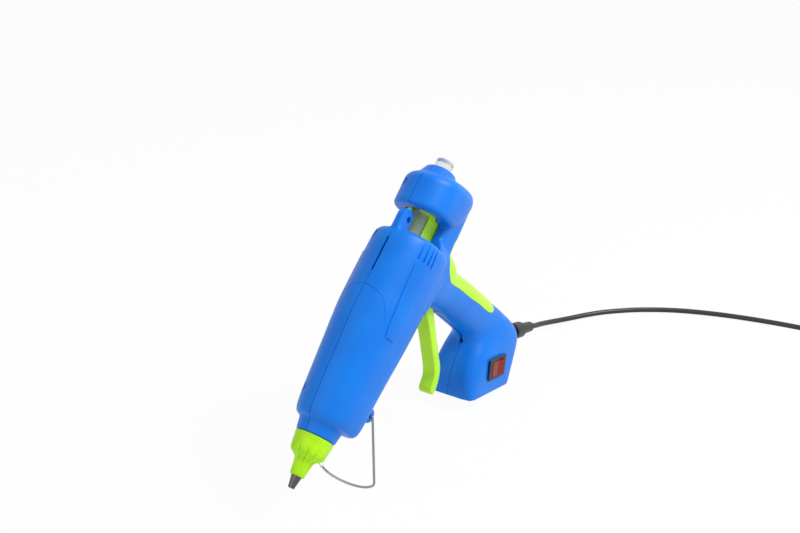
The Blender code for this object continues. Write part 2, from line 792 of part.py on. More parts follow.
def without(body, cutters):
    for cutter in cutters:
        body = combine(body, cutter, "DIFFERENCE")
    return body


def arc(centre, radius, start, end, count):
    """(behind, up) points of an arc, its angles in degrees from straight back, counted upwards."""
    points = []
    for i in range(count + 1):
        angle = math.radians(start + (end - start) * i / count)
        points.append((centre[0] + radius * math.cos(angle), centre[1] + radius * math.sin(angle)))
    return points


def cross_rod(name, behind, up, radius, left_from, left_to, sides=16):
    """A round bar across the gun."""
    return rod(name, gun(behind, left_from, up), gun(behind, left_to, up), radius, sides=sides)


def collar_body():
    rear = BARREL_FRONT + WALL
    return turned("collar", [(COLLAR_FRONT, 0.0), (COLLAR_FRONT, COLLAR_FRONT_RADIUS),
                             (rear, COLLAR_REAR_RADIUS), (rear, 0.0)])


def rear_collar_body():
    front = REAR_COLLAR_X - REAR_COLLAR_LENGTH
    return turned("rear_collar", [(front, 0.0), (front, REAR_COLLAR_BASE_RADIUS),
                                  (REAR_COLLAR_X, REAR_COLLAR_RADIUS), (REAR_COLLAR_X, 0.0)])


def eye_body():
    rear = BARREL_FRONT + BARREL_LENGTH - WALL
    outline = [(rear, EYE_Z - EYE_RADIUS)] + arc((EYE_X, EYE_Z), EYE_RADIUS, -90, 90, 12)
    outline.append((rear, EYE_Z + EYE_RADIUS))
    return plate("eye", outline, EYE_HALF_THICKNESS)


def lug_body(side):
    return cross_rod("lug", LUG_X, -LUG_Z, LUG_RADIUS, side * LUG_INNER_Y, side * LUG_OUTER_Y)


def casing_outside():
    """The outer shape of both half shells in one."""
    return all_of([barrel_loft("casing"), collar_body(), bridge_loft("bridge"), head_loft("head"),
                   rear_collar_body(), grip_loft("grip"), eye_body(), lug_body(1), lug_body(-1)])


def strap_floor(depth):
    """The casing's back, sunk by a depth."""
    return all_of([grip_loft("floor", depth, depth, depth, depth), bridge_loft("floor_bridge", depth),
                   head_loft("floor_head", depth), barrel_loft("floor_barrel", depth)])


def grown_outline(points, amount):
    """An outline, drawn clockwise, with every edge moved out by an amount."""
    grown = []
    corners = [Vector(point) for point in points]
    for before, corner, after in zip(corners[-1:] + corners[:-1], corners, corners[1:] + corners[:1]):
        ahead, onward = (corner - before).normalized(), (after - corner).normalized()
        out = Vector((ahead.y, -ahead.x))
        next_out = Vector((onward.y, -onward.x))
        moved = corner + (out + next_out) * amount / (1 + out.dot(next_out))
        grown.append((moved.x, moved.y))
    return grown


def strap_region(name, grown=0.0):
    """A prism round the grip insert, its edge moved out by a little."""
    border = [(GRIP_FRONT_X + depth_share * GRIP_DEPTH, -drop_share * GRIP_DROP)
              for depth_share, drop_share in STRAP_EDGE_SHARES]
    return plate(name, grown_outline(border, grown), BASE_HALF_WIDTH + OVERRUN)


def screw_places():
    """Name, distance behind the tip and height of each screw's axis."""
    places = list(SCREWS)
    for name, along, up in BASE_SCREWS:
        point = base_point(along, up)
        places.append((name, -point.x, point.z))
    return places


def relief_axis():
    """Where the relief's axis meets the base's rear face, and its direction away from the gun."""
    rear = [(share[2], share[3]) for share in BASE_STATION_SHARES]
    top = base_point(rear[1][0] * BASE_LENGTH, rear[1][1] * BASE_LENGTH)
    heel = base_point(rear[-1][0] * BASE_LENGTH, rear[-1][1] * BASE_LENGTH)
    angle = REST_TILT + RELIEF_DROOP
    return heel.lerp(top, RELIEF_RISE_SHARE), Vector((-math.cos(angle), 0, -math.sin(angle)))


def arm_points():
    """The drive pin's place at rest, and at full pull."""
    half = ARM_SWING / 2
    height = -PIVOT_Z + ARM_LENGTH * math.cos(half)
    reach = ARM_LENGTH * math.sin(half)
    return (PIVOT_X + reach, height), (PIVOT_X - reach, height)


def casing_inside():
    """The hollow of the casing, less the ribs, shelves and screw posts that stand in it."""
    hollow = barrel_loft("hollow", WALL, INNER_POINTS)
    channel_floor = -CARRIAGE_BOTTOM - CARRIAGE_CLEARANCE
    shelf_floor = channel_floor - RAIL_THICKNESS
    hollow = combine(hollow, bridge_loft("bridge_hollow", GRIP_WALL, -BRIDGE_TOP - shelf_floor,
                                         INNER_POINTS), "UNION")
    hollow = combine(hollow, grip_loft("grip_hollow", GRIP_WALL, GRIP_WALL, GRIP_WALL, WALL, INNER_POINTS),
                     "UNION")
    width = BARREL_RADIUS + OVERRUN
    reach = 2 * BARREL_RADIUS
    ribs = []
    groove_web = slab("web", REAR_INSULATOR_X + INSULATOR_LENGTH / 2 - WEB_THICKNESS / 2,
                      REAR_INSULATOR_X + INSULATOR_LENGTH / 2 + WEB_THICKNESS / 2, width, -reach, reach)
    start = gun(REAR_INSULATOR_X, 0, 0)
    ribs.append(combine(groove_web, rod("web_hole", start + gun(-OVERRUN, 0, 0),
                                        start + gun(INSULATOR_LENGTH + OVERRUN, 0, 0),
                                        INSULATOR_RADIUS + GAP, sides=24), "DIFFERENCE"))
    sleeve_web = slab("sleeve_web", SLEEVE_WEB_X, SLEEVE_WEB_X + WEB_THICKNESS, width, -reach, reach)
    start = gun(SLEEVE_WEB_X, 0, 0)
    ribs.append(combine(sleeve_web, rod("sleeve_hole", start + gun(-OVERRUN, 0, 0),
                                        start + gun(WEB_THICKNESS + OVERRUN, 0, 0),
                                        SLEEVE_RADIUS + GAP, sides=24), "DIFFERENCE"))
    shelf = slab("shelf", RAIL_FRONT, BARREL_FRONT + BARREL_LENGTH, width, shelf_floor, channel_floor)
    gap = slab("shelf_gap", RAIL_FRONT - OVERRUN, BARREL_FRONT + BARREL_LENGTH - WALL, RAIL_GAP,
               shelf_floor - OVERRUN, channel_floor + OVERRUN)
    ribs.append(combine(shelf, gap, "DIFFERENCE"))
    for name, behind, up in screw_places():
        ribs.append(cross_rod("post", behind, up, BOSS_RADIUS, -width, width))
    for side in (-1, 1):
        ribs.append(cross_rod("pivot_post", PIVOT_X, -PIVOT_Z, PIVOT_BOSS_RADIUS,
                              side * TRIGGER_HALF_WIDTH, side * width))
    face, away = relief_axis()
    ribs.append(rod("relief_post", face - away * RELIEF_SEAT_DEPTH, face + away * OVERRUN,
                    RELIEF_FLANGE_RADIUS + RELIEF_SEAT_WALL))
    hollow = without(hollow, ribs)
    head_space = combine(head_loft("head_hollow", WALL, INNER_POINTS),
                         slab("head_part", CARRIAGE_REAR + WALL + RUNNING_GAP, HEAD_FRONT + HEAD_LENGTH,
                              2 * HEAD_RADIUS, -2 * HEAD_DEPTH, 2 * HEAD_DEPTH), "INTERSECT")
    tube_radius = CARRIAGE_RING_RADIUS
    head_space = combine(head_space, rod("stick_tube", gun(BRIDGE_START, 0, 0), gun(STICK_REAR, 0, 0),
                                         tube_radius, sides=24), "DIFFERENCE")
    for name, behind, up in SCREWS:
        if behind > HEAD_FRONT:
            head_space = combine(head_space, cross_rod("head_post", behind, up, BOSS_RADIUS, -width, width),
                                 "DIFFERENCE")
    return [hollow, head_space]


def casing_cuts():
    """What is cut through both half shells: the ways of the stick, carriage and trigger, slots and vents."""
    cuts = []
    barrel_rear = BARREL_FRONT + BARREL_LENGTH
    seat = FRONT_INSULATOR_X + INSULATOR_LENGTH + GAP
    cuts.append(turned("front_way", [
        (COLLAR_FRONT - OVERRUN, 0.0), (COLLAR_FRONT - OVERRUN, COLLAR_BORE_RADIUS),
        (FRONT_INSULATOR_X - GAP, COLLAR_BORE_RADIUS), (FRONT_INSULATOR_X - GAP, INSULATOR_RADIUS + GAP),
        (seat, INSULATOR_RADIUS + GAP), (seat, COLLAR_BORE_RADIUS),
        (seat + COLLAR_LIP + WALL, COLLAR_BORE_RADIUS), (seat + COLLAR_LIP + WALL, 0.0)]))
    cuts.append(rod("stick_way", gun(barrel_rear, 0, 0), gun(REAR_COLLAR_X + OVERRUN, 0, 0),
                    STICK_BORE_RADIUS, sides=24))
    cuts.append(rod("head_way", gun(barrel_rear, 0, 0), gun(CARRIAGE_REAR + RUNNING_GAP, 0, 0),
                    HEAD_FRONT_BORE_RADIUS, sides=24))
    channel = CARRIAGE_HALF_WIDTH + CARRIAGE_CLEARANCE
    cuts.append(slab("carriage_way", barrel_rear - WALL - RUNNING_GAP, CARRIAGE_REAR + 2 * RUNNING_GAP, channel,
                     -CARRIAGE_BOTTOM - CARRIAGE_CLEARANCE, 0.0))
    cuts.append(rod("rear_wall_way", gun(barrel_rear - 2 * WALL, 0, 0), gun(barrel_rear + WALL, 0, 0),
                    channel, sides=24))
    cuts.append(slab("top_slot", TOP_SLOT_FRONT, TOP_SLOT_FRONT + TOP_SLOT_LENGTH, TOP_SLOT_HALF_WIDTH,
                     BARREL_RADIUS - 2 * WALL, BARREL_RADIUS + OVERRUN))
    cuts.append(cross_rod("eye_hole", EYE_X, EYE_Z, EYE_HOLE_RADIUS, -BARREL_RADIUS, BARREL_RADIUS))
    opening = [(PIVOT_X - share_x * ARM_LENGTH, -PIVOT_Z - share_z * ARM_LENGTH)
               for share_x, share_z in OPENING_OUTLINE_SHARES]
    cuts.append(plate("trigger_way", opening, TRIGGER_HALF_WIDTH + RUNNING_GAP))
    rest, pulled = arm_points()
    swing = ARM_HALF_DEPTH + CARRIAGE_CLEARANCE
    cuts.append(plate("arm_way", [(PIVOT_X - PIVOT_BOSS_RADIUS, -PIVOT_Z), (pulled[0] - swing, pulled[1]),
                                  (rest[0] + swing, rest[1]), (PIVOT_X + PIVOT_BOSS_RADIUS, -PIVOT_Z)],
                      ARM_HALF_WIDTH + CARRIAGE_CLEARANCE))
    front = [grip_point(share[0], share[2]) for share in GRIP_STATION_SHARES[3:]]
    slit = [(-point.x + SLIT_DEPTH, point.z) for point in front]
    slit += [(-point.x - OVERRUN, point.z) for point in reversed(front)]
    cuts.append(plate("slit", slit, SLIT_HALF_WIDTH))
    crotch = front[-1]
    cuts.append(rod("slit_hole", crotch + gun(-SLIT_DEPTH, 0, SLIT_DEPTH), crotch + gun(SLIT_DEPTH, 0, -SLIT_DEPTH),
                    SLIT_HOLE_RADIUS))
    pin_end = PIVOT_PIN_HALF_LENGTH + GAP
    cuts.append(cross_rod("pin_hole", PIVOT_X, -PIVOT_Z, PIVOT_PIN_RADIUS + GAP, -pin_end, pin_end))
    for side in (-1, 1):
        cuts.append(cross_rod("wire_hole", LUG_X, -LUG_Z, WIRE_RADIUS + GAP, side * WIRE_HOLE_END_Y,
                              side * (LUG_OUTER_Y + OVERRUN), 16))
        for i in range(VENT_COUNT):
            cuts.append(vent(side, VENT_FIRST_ANGLE + i * VENT_STEP_ANGLE))
    face, away = relief_axis()
    cuts.append(rod("relief_hole", face - away * (RELIEF_SEAT_DEPTH + OVERRUN), face + away * OVERRUN,
                    RELIEF_NECK_RADIUS + GAP))
    cuts.append(rod("relief_seat", face - away * RELIEF_SINK, face + away * (2 * OVERRUN),
                    RELIEF_FLANGE_RADIUS + GAP))
    return cuts


def vent(side, angle):
    """A groove along the barrel's rear, a given way round from the top."""
    rear = BARREL_FRONT + BARREL_LENGTH
    surface = BARREL_RADIUS * VENT_SURFACE_SHARE
    groove = box("vent", gun(rear + OVERRUN, -VENT_HALF_WIDTH, surface - VENT_DEPTH),
                 gun(rear - VENT_LENGTH, VENT_HALF_WIDTH, surface + OVERRUN))
    groove.data.transform(Matrix.Rotation(-side * angle, 4, "X"))
    return groove


def half_casing(casing, name, side):
    """One half shell, with its side's screw seats or pilot holes. The right one is the left one mirrored."""
    far = 2 * STICK_REAR
    other = box("other_half", (-far, -far, -far), (far, SEAM_GAP / 2, far))
    half = combine(copy_of(casing, name), other, "DIFFERENCE")
    if side < 0:
        half.data.transform(Matrix.Scale(-1, 4, (0, 1, 0)))
        half.data.flip_normals()
    cuts = []
    for screw, behind, up in screw_places():
        hole = SCREW_SHANK_RADIUS + GAP
        if side < 0:
            cuts.append(cross_rod("screw_hole", behind, up, hole, OVERRUN, -SCREW_SEAT_Y - OVERRUN, 16))
            cuts.append(cross_rod("recess", behind, up, RECESS_RADIUS, -SCREW_SEAT_Y,
                                  -BARREL_RADIUS - OVERRUN))
        else:
            end = SCREW_LENGTH - SCREW_SEAT_Y + GAP
            cuts.append(cross_rod("pilot_hole", behind, up, hole, -OVERRUN, end, 16))
    if side > 0:
        cuts.append(on_base("switch_way", switch_box("switch_way", SWITCH_BODY_LENGTH / 2 + GAP,
                                                     SWITCH_BODY_WIDTH / 2 + GAP,
                                                     -SWITCH_BODY_DEPTH, BEZEL_HEIGHT)))
    half = without(half, cuts)
    half.name = name
    return half


def base_frame():
    """Turns (along the base, up from it, out to the left) into gun directions."""
    along = Vector((-math.cos(BASE_SLOPE), 0, -math.sin(BASE_SLOPE)))
    up = Vector((-math.sin(BASE_SLOPE), 0, math.cos(BASE_SLOPE)))
    turn = Matrix((along, up, Vector((0, 1, 0)))).transposed().to_4x4()
    return Matrix.Translation(base_point(SWITCH_ALONG, SWITCH_UP, BASE_HALF_WIDTH)) @ turn


def on_base(name, item):
    """A solid drawn round the switch's middle on the base's left face, put in its place."""
    item.data.transform(base_frame())
    item.name = name
    return item


def switch_box(name, half_length, half_width, low, high):
    return box(name, (-half_length, -half_width, low), (half_length, half_width, high))


def bevelled(item, width, segments=1, angle=30.0):
    """The item with its sharp edges rounded."""
    step = item.modifiers.new("bevel", "BEVEL")
    step.width = width
    step.segments = segments
    step.limit_method = "ANGLE"
    step.angle_limit = math.radians(angle)
    return freeze(item)


def make_nozzle():
    front = NOZZLE_HEX_REAR + GAP
    outline = [(0.0, NOZZLE_TIP_RADIUS), (NOZZLE_NECK_X, NOZZLE_NECK_RADIUS),
               (NOZZLE_HEX_FRONT, NOZZLE_BODY_RADIUS), (NOZZLE_HEX_REAR, NOZZLE_BODY_RADIUS),
               (NOZZLE_HEX_REAR, NOZZLE_THREAD_RADIUS),
               (front + NOZZLE_THREAD_LENGTH, NOZZLE_THREAD_RADIUS),
               (front + NOZZLE_THREAD_LENGTH, NOZZLE_FEED_RADIUS), (NOZZLE_NECK_X, NOZZLE_FEED_RADIUS),
               (NOZZLE_TIP_RADIUS, NOZZLE_HOLE_RADIUS), (0.0, NOZZLE_HOLE_RADIUS)]
    body = turned("nozzle", outline)
    spanner = rod("hex", gun(NOZZLE_HEX_FRONT, 0, 0), gun(NOZZLE_HEX_REAR, 0, 0), NOZZLE_HEX_RADIUS, sides=6)
    bore = rod("hex_bore", gun(NOZZLE_HEX_FRONT - OVERRUN, 0, 0), gun(NOZZLE_HEX_REAR + OVERRUN, 0, 0),
               (NOZZLE_BODY_RADIUS + NOZZLE_FEED_RADIUS) / 2)
    return combine(body, combine(spanner, bore, "DIFFERENCE"), "UNION")


def make_boot():
    """A thin sleeve: its lip grips the nozzle, and its rear end lies on the casing's collar."""
    rear = COLLAR_FRONT - GAP
    lip = NOZZLE_NECK_RADIUS + GAP
    inner_shoulder = BOOT_SHOULDER_X + BOOT_WALL
    outline = [(BOOT_LIP_X, BOOT_LIP_RADIUS), (BOOT_CONE_X, BOOT_CONE_RADIUS),
               (BOOT_SHOULDER_X, BOOT_SHOULDER_RADIUS), (rear, BOOT_REAR_RADIUS),
               (rear, BOOT_REAR_RADIUS - BOOT_WALL),
               (inner_shoulder, BOOT_SHOULDER_RADIUS - BOOT_WALL), (inner_shoulder, NOZZLE_BODY_RADIUS + GAP),
               (BOOT_LIP_X, lip)]
    return turned("nozzle_boot", outline, 36)


def make_chamber():
    front = NOZZLE_HEX_REAR + GAP
    thread_end = front + NOZZLE_THREAD_LENGTH + GAP
    thread = NOZZLE_THREAD_RADIUS + GAP
    outline = [(front, CHAMBER_RADIUS), (CHAMBER_REAR, CHAMBER_RADIUS), (CHAMBER_REAR, SPIGOT_RADIUS),
               (SPIGOT_REAR, SPIGOT_RADIUS), (SPIGOT_REAR, CHAMBER_BORE_RADIUS),
               (CHAMBER_BORE_FRONT, CHAMBER_BORE_RADIUS),
               (CHAMBER_BORE_FRONT - CHAMBER_THROAT_TAPER, NOZZLE_FEED_RADIUS),
               (thread_end, NOZZLE_FEED_RADIUS), (thread_end, thread), (front, thread)]
    barrel = turned("melt_chamber", outline)
    pocket = slab("pocket", POCKET_FRONT, POCKET_REAR, POCKET_HALF_WIDTH, -POCKET_DEPTH, 0.0)
    bore = rod("pocket_bore", gun(POCKET_FRONT - OVERRUN, 0, 0), gun(POCKET_REAR + OVERRUN, 0, 0),
               (CHAMBER_RADIUS + CHAMBER_BORE_RADIUS) / 2, sides=24)
    barrel = combine(barrel, combine(pocket, bore, "DIFFERENCE"), "UNION")
    slot = slab("heater_slot", POCKET_FRONT - OVERRUN, POCKET_REAR + OVERRUN, SLOT_HALF_WIDTH,
                -SLOT_BOTTOM, -SLOT_TOP)
    return combine(barrel, slot, "DIFFERENCE")


def make_heater():
    middle = (POCKET_FRONT + POCKET_REAR) / 2
    top = -SLOT_TOP - GAP
    return slab("heater_plate", middle - HEATER_LENGTH / 2, middle + HEATER_LENGTH / 2, SLOT_HALF_WIDTH - GAP,
                top - HEATER_THICKNESS, top)


def make_heater_clip():
    """A flat spring under the heater, turned up at both ends over the pocket's floor."""
    top = -SLOT_TOP - 2 * GAP - HEATER_THICKNESS
    thick = HEATER_CLIP_THICKNESS
    front, rear = POCKET_FRONT - GAP, POCKET_REAR + GAP
    low = -SLOT_BOTTOM - HEATER_CLIP_TAB
    outline = [(front - thick, top), (rear + thick, top), (rear + thick, low), (rear, low), (rear, top - thick),
               (front, top - thick), (front, low), (front - thick, low)]
    return plate("heater_clip", outline, SLOT_HALF_WIDTH - 2 * GAP)


def make_insulator(name, front):
    """A ring with a groove that a rib of the casing stands in."""
    rear = front + INSULATOR_LENGTH
    grooved = front > FRONT_INSULATOR_X
    bore = CHAMBER_RADIUS + GAP
    outline = [(front, INSULATOR_RADIUS)]
    if grooved:
        middle = (front + rear) / 2
        half = WEB_THICKNESS / 2 + GAP
        rim = INSULATOR_RADIUS + INSULATOR_LIP
        outline = [(front, rim), (middle - half, rim), (middle - half, INSULATOR_RADIUS),
                   (middle + half, INSULATOR_RADIUS), (middle + half, rim), (rear, rim)]
    else:
        outline.append((rear, INSULATOR_RADIUS))
    outline += [(rear, bore), (front, bore)]
    return turned(name, outline)


def make_sleeve():
    """A silicone guide pushed on the chamber's spigot."""
    front = CHAMBER_REAR + GAP
    step = SPIGOT_REAR + GAP
    outline = [(front, SLEEVE_RADIUS), (SLEEVE_REAR, SLEEVE_RADIUS), (SLEEVE_REAR, STICK_RADIUS + GAP),
               (step, STICK_RADIUS + GAP), (step, SPIGOT_RADIUS + GAP), (front, SPIGOT_RADIUS + GAP)]
    return turned("feed_sleeve", outline)


def make_sleeve_clip():
    ring = []
    radius = SLEEVE_RADIUS + GAP + CLIP_WIRE_RADIUS
    turns, count = 1.6, 28
    pitch = 2 * CLIP_WIRE_RADIUS + RUNNING_GAP
    for i in range(count + 1):
        angle = 2 * math.pi * turns * i / count
        ring.append(gun(CLIP_X + pitch * turns * i / count, radius * math.sin(angle), radius * math.cos(angle)))
    return plain_mesh(tube("sleeve_clip", ring, CLIP_WIRE_RADIUS, 1))


def make_trigger():
    blade = [(PIVOT_X - ahead * ARM_LENGTH, -PIVOT_Z - below * ARM_LENGTH)
             for ahead, below in TRIGGER_OUTLINE_SHARES]
    body = plate("trigger", blade, TRIGGER_HALF_WIDTH, TRIGGER_BEVEL)
    hub = cross_rod("hub", PIVOT_X, -PIVOT_Z, PIVOT_BOSS_RADIUS, -TRIGGER_HALF_WIDTH, TRIGGER_HALF_WIDTH)
    rest, pulled = arm_points()
    lean = Vector((rest[0] - PIVOT_X, rest[1] + PIVOT_Z)).normalized()
    side = Vector((-lean.y, lean.x)) * ARM_HALF_DEPTH
    arm = [(PIVOT_X - side.x, -PIVOT_Z - side.y), (PIVOT_X + side.x, -PIVOT_Z + side.y)]
    end = math.degrees(math.atan2(side.y, side.x))
    arm += arc(rest, ARM_HALF_DEPTH, end, end - 180, 8)
    arm = plate("arm", arm, ARM_HALF_WIDTH)
    body = all_of([body, hub, arm])
    holes = [cross_rod("pivot_hole", PIVOT_X, -PIVOT_Z, PIVOT_PIN_RADIUS + GAP, -BARREL_RADIUS, BARREL_RADIUS),
             cross_rod("drive_hole", rest[0], rest[1], DRIVE_PIN_RADIUS + GAP, -BARREL_RADIUS, BARREL_RADIUS)]
    return without(body, holes)


def make_pin(name, place, radius, half_length):
    return cross_rod(name, place[0], place[1], radius, -half_length, half_length)


def make_carriage():
    """The slide that the trigger drives: a ring round the stick at each end of a beam under it."""
    front, ring_rear = CARRIAGE_FRONT, CARRIAGE_FRONT + CARRIAGE_RING_LENGTH
    flange_rear = front + CARRIAGE_FLANGE_LENGTH
    ring = turned("feed_carriage", [
        (front, CARRIAGE_FLANGE_RADIUS), (flange_rear, CARRIAGE_FLANGE_RADIUS), (flange_rear, CARRIAGE_RING_RADIUS),
        (ring_rear, CARRIAGE_RING_RADIUS), (ring_rear, CARRIAGE_BORE_RADIUS), (front, CARRIAGE_BORE_RADIUS)])
    rear_ring_front = CARRIAGE_REAR - CARRIAGE_REAR_RING_LENGTH
    rear_ring = turned("rear_ring", [
        (rear_ring_front, CARRIAGE_RING_RADIUS), (CARRIAGE_REAR, CARRIAGE_RING_RADIUS),
        (CARRIAGE_REAR, CARRIAGE_BORE_RADIUS), (rear_ring_front, CARRIAGE_BORE_RADIUS)])
    notch = slab("eye_notch", rear_ring_front - OVERRUN, CARRIAGE_REAR + OVERRUN,
                 EYE_HALF_THICKNESS + CARRIAGE_CLEARANCE, 0.0, 2 * CARRIAGE_RING_RADIUS)
    rear_ring = combine(rear_ring, notch, "DIFFERENCE")
    bore = rod("carriage_bore", gun(front - OVERRUN, 0, 0), gun(CARRIAGE_REAR + OVERRUN, 0, 0),
               CARRIAGE_BORE_RADIUS, sides=24)
    beam = slab("beam", flange_rear, CARRIAGE_REAR, CARRIAGE_HALF_WIDTH, -CARRIAGE_BOTTOM, 0.0)
    ears = slab("ears", flange_rear, ring_rear, JAW_EAR_HALF_WIDTH, 0.0, JAW_EAR_TOP)
    beam = combine(combine(beam, ears, "UNION"), bore, "DIFFERENCE")
    body = all_of([ring, beam, rear_ring])
    rest, pulled = arm_points()
    cuts = [slab("arm_pocket", rest[0] - ARM_POCKET_HALF_LENGTH, rest[0] + ARM_POCKET_HALF_LENGTH,
                 ARM_HALF_WIDTH + CARRIAGE_CLEARANCE, -CARRIAGE_BOTTOM - OVERRUN, -ARM_POCKET_ROOF),
            slab("pin_slots", rest[0] - DRIVE_PIN_RADIUS - GAP, rest[0] + DRIVE_PIN_RADIUS + GAP,
                 CARRIAGE_HALF_WIDTH + OVERRUN, -CARRIAGE_BOTTOM - OVERRUN,
                 -PIVOT_Z + ARM_LENGTH + DRIVE_PIN_RADIUS + GAP),
            slab("jaw_pocket", flange_rear + JAW_POCKET_END, ring_rear - JAW_POCKET_END,
                 JAW_HALF_WIDTH + GAP, 0.0, JAW_EAR_TOP + OVERRUN),
            cross_rod("jaw_hole", JAW_PIN_X, JAW_PIN_Z, JAW_PIN_RADIUS + GAP, -JAW_EAR_HALF_WIDTH - OVERRUN,
                      JAW_EAR_HALF_WIDTH + OVERRUN)]
    return without(body, cuts)


def make_jaw():
    """A toothed lever that tips down on the stick when the carriage is driven forward."""
    low = STICK_RADIUS + JAW_BITE_GAP
    tip = JAW_PIN_X - JAW_LENGTH
    outline = arc((JAW_PIN_X, JAW_PIN_Z), JAW_EYE_RADIUS, 90, -60, 8)
    toothed = JAW_LENGTH * 2 / 3
    step = toothed / JAW_TEETH
    for i in range(JAW_TEETH):
        outline.append((tip + toothed - i * step, low + JAW_TOOTH_DEPTH))
        outline.append((tip + toothed - (i + 1) * step, low))
    outline.append((tip, JAW_PIN_Z + JAW_EYE_RADIUS / 2))
    body = plate("grip_jaw", outline, JAW_HALF_WIDTH)
    hole = cross_rod("jaw_eye", JAW_PIN_X, JAW_PIN_Z, JAW_PIN_RADIUS + GAP, -JAW_EAR_HALF_WIDTH,
                     JAW_EAR_HALF_WIDTH, 16)
    return combine(body, hole, "DIFFERENCE")


def make_spring():
    start = SLEEVE_WEB_X + WEB_THICKNESS + GAP + SPRING_WIRE_RADIUS
    end = CARRIAGE_FRONT - GAP - SPRING_WIRE_RADIUS
    count = SPRING_TURNS * SPRING_POINTS
    points = []
    for i in range(count + 1):
        angle = 2 * math.pi * i / SPRING_POINTS
        points.append(gun(start + (end - start) * i / count, SPRING_RADIUS * math.sin(angle),
                          SPRING_RADIUS * math.cos(angle)))
    return plain_mesh(tube("return_spring", points, SPRING_WIRE_RADIUS, 1))


def make_stick():
    return bevelled(rod("glue_stick", gun(STICK_FRONT, 0, 0), gun(STICK_REAR, 0, 0), STICK_RADIUS, sides=32),
                    STICK_RADIUS / 10)


def make_screw(name, behind, up):
    """A pan-headed screw from the right, with a cross recess."""
    seat = -SCREW_SEAT_Y - GAP
    head = rod(name, gun(behind, seat - SCREW_HEAD_HEIGHT, up), gun(behind, seat, up),
               SCREW_HEAD_RADIUS * 3 / 4, SCREW_HEAD_RADIUS, 20)
    shank = rod("shank", gun(behind, seat - SCREW_HEAD_HEIGHT / 2, up), gun(behind, seat + SCREW_LENGTH, up),
                SCREW_SHANK_RADIUS, sides=16)
    screw = combine(head, shank, "UNION")
    low = seat - SCREW_HEAD_HEIGHT - OVERRUN
    deep = seat - SCREW_HEAD_HEIGHT + DRIVER_SLOT_DEPTH
    half = DRIVER_SLOT_RADIUS / 3
    bars = [box("slot_x", gun(behind + DRIVER_SLOT_RADIUS, low, up - half),
                gun(behind - DRIVER_SLOT_RADIUS, deep, up + half)),
            box("slot_z", gun(behind + half, low, up - DRIVER_SLOT_RADIUS),
                gun(behind - half, deep, up + DRIVER_SLOT_RADIUS))]
    return combine(screw, combine(bars[0], bars[1], "UNION"), "DIFFERENCE")


def stand_reach():
    """From the stand's hinge to its foot, so that the foot is level with the base's heel."""
    tilt = Matrix.Rotation(REST_TILT, 3, "Y")
    drop = (tilt @ gun(LUG_X, 0, -LUG_Z)).z - (tilt @ base_point(BASE_LENGTH, 0)).z
    return (drop - WIRE_RADIUS) / math.cos(STAND_LEAN)


def stand_points():
    """The wire stand, drawn hanging straight down from its hinge: one end in each lug, and a bowed foot."""
    bend = WIRE_HINGE_BEND
    leg = [Vector((0, WIRE_HOLE_END_Y + GAP, 0))]
    for i in range(5):
        angle = math.radians(90 * i / 4)
        leg.append(Vector((0, WIRE_LEG_Y - bend + bend * math.sin(angle), bend * math.cos(angle) - bend)))
    ankle = WIRE_FOOT_DEPTH - stand_reach()
    half = [Vector((0, share * WIRE_FOOT_Y, ankle - drop * WIRE_FOOT_DEPTH)) for share, drop in WIRE_FOOT_SHARES]
    foot = half + [Vector((0, 0, ankle - WIRE_FOOT_DEPTH))] + mirrored(half)
    return leg + smooth_path(foot, WIRE_FOOT_STEP) + mirrored(leg)


def mirrored(points):
    """The points on the other side of the seam, in reverse order."""
    return [Vector((point.x, -point.y, point.z)) for point in reversed(points)]


def make_stand():
    """The stand at rest: its legs lean a little forward of upright while the gun stands nose down."""
    turn = Matrix.Rotation(-(REST_TILT + STAND_LEAN), 4, "Y")
    points = [gun(LUG_X, 0, -LUG_Z) + turn @ point for point in stand_points()]
    return plain_mesh(tube("wire_stand", points, WIRE_RADIUS, 2))


def strap_space(clearance):
    """Everything outside the strap's floor, within its edge."""
    return combine(strap_region("strap_space", clearance), strap_floor(STRAP_DEPTH + clearance), "DIFFERENCE")


def make_strap():
    body = combine(casing_outside(), strap_space(0.0), "INTERSECT")
    body.name = "backstrap"
    return body


def make_switch_housing():
    bezel = bevelled(switch_box("switch_housing", BEZEL_LENGTH / 2, BEZEL_WIDTH / 2, GAP, BEZEL_HEIGHT),
                     BEZEL_HEIGHT / 3)
    body = switch_box("switch_body", SWITCH_BODY_LENGTH / 2, SWITCH_BODY_WIDTH / 2, -SWITCH_BODY_DEPTH,
                      BEZEL_HEIGHT / 2)
    body = combine(bezel, body, "UNION")
    well = switch_box("well", ROCKER_LENGTH / 2 + GAP, ROCKER_WIDTH / 2 + GAP, -ROCKER_DEPTH, 2 * BEZEL_HEIGHT)
    trunnion = rod("trunnion_hole", (0, -BEZEL_WIDTH, -ROCKER_PIVOT_DEPTH), (0, BEZEL_WIDTH, -ROCKER_PIVOT_DEPTH),
                   ROCKER_PIN_RADIUS + GAP, sides=16)
    return on_base("switch_housing", without(body, [well, trunnion]))


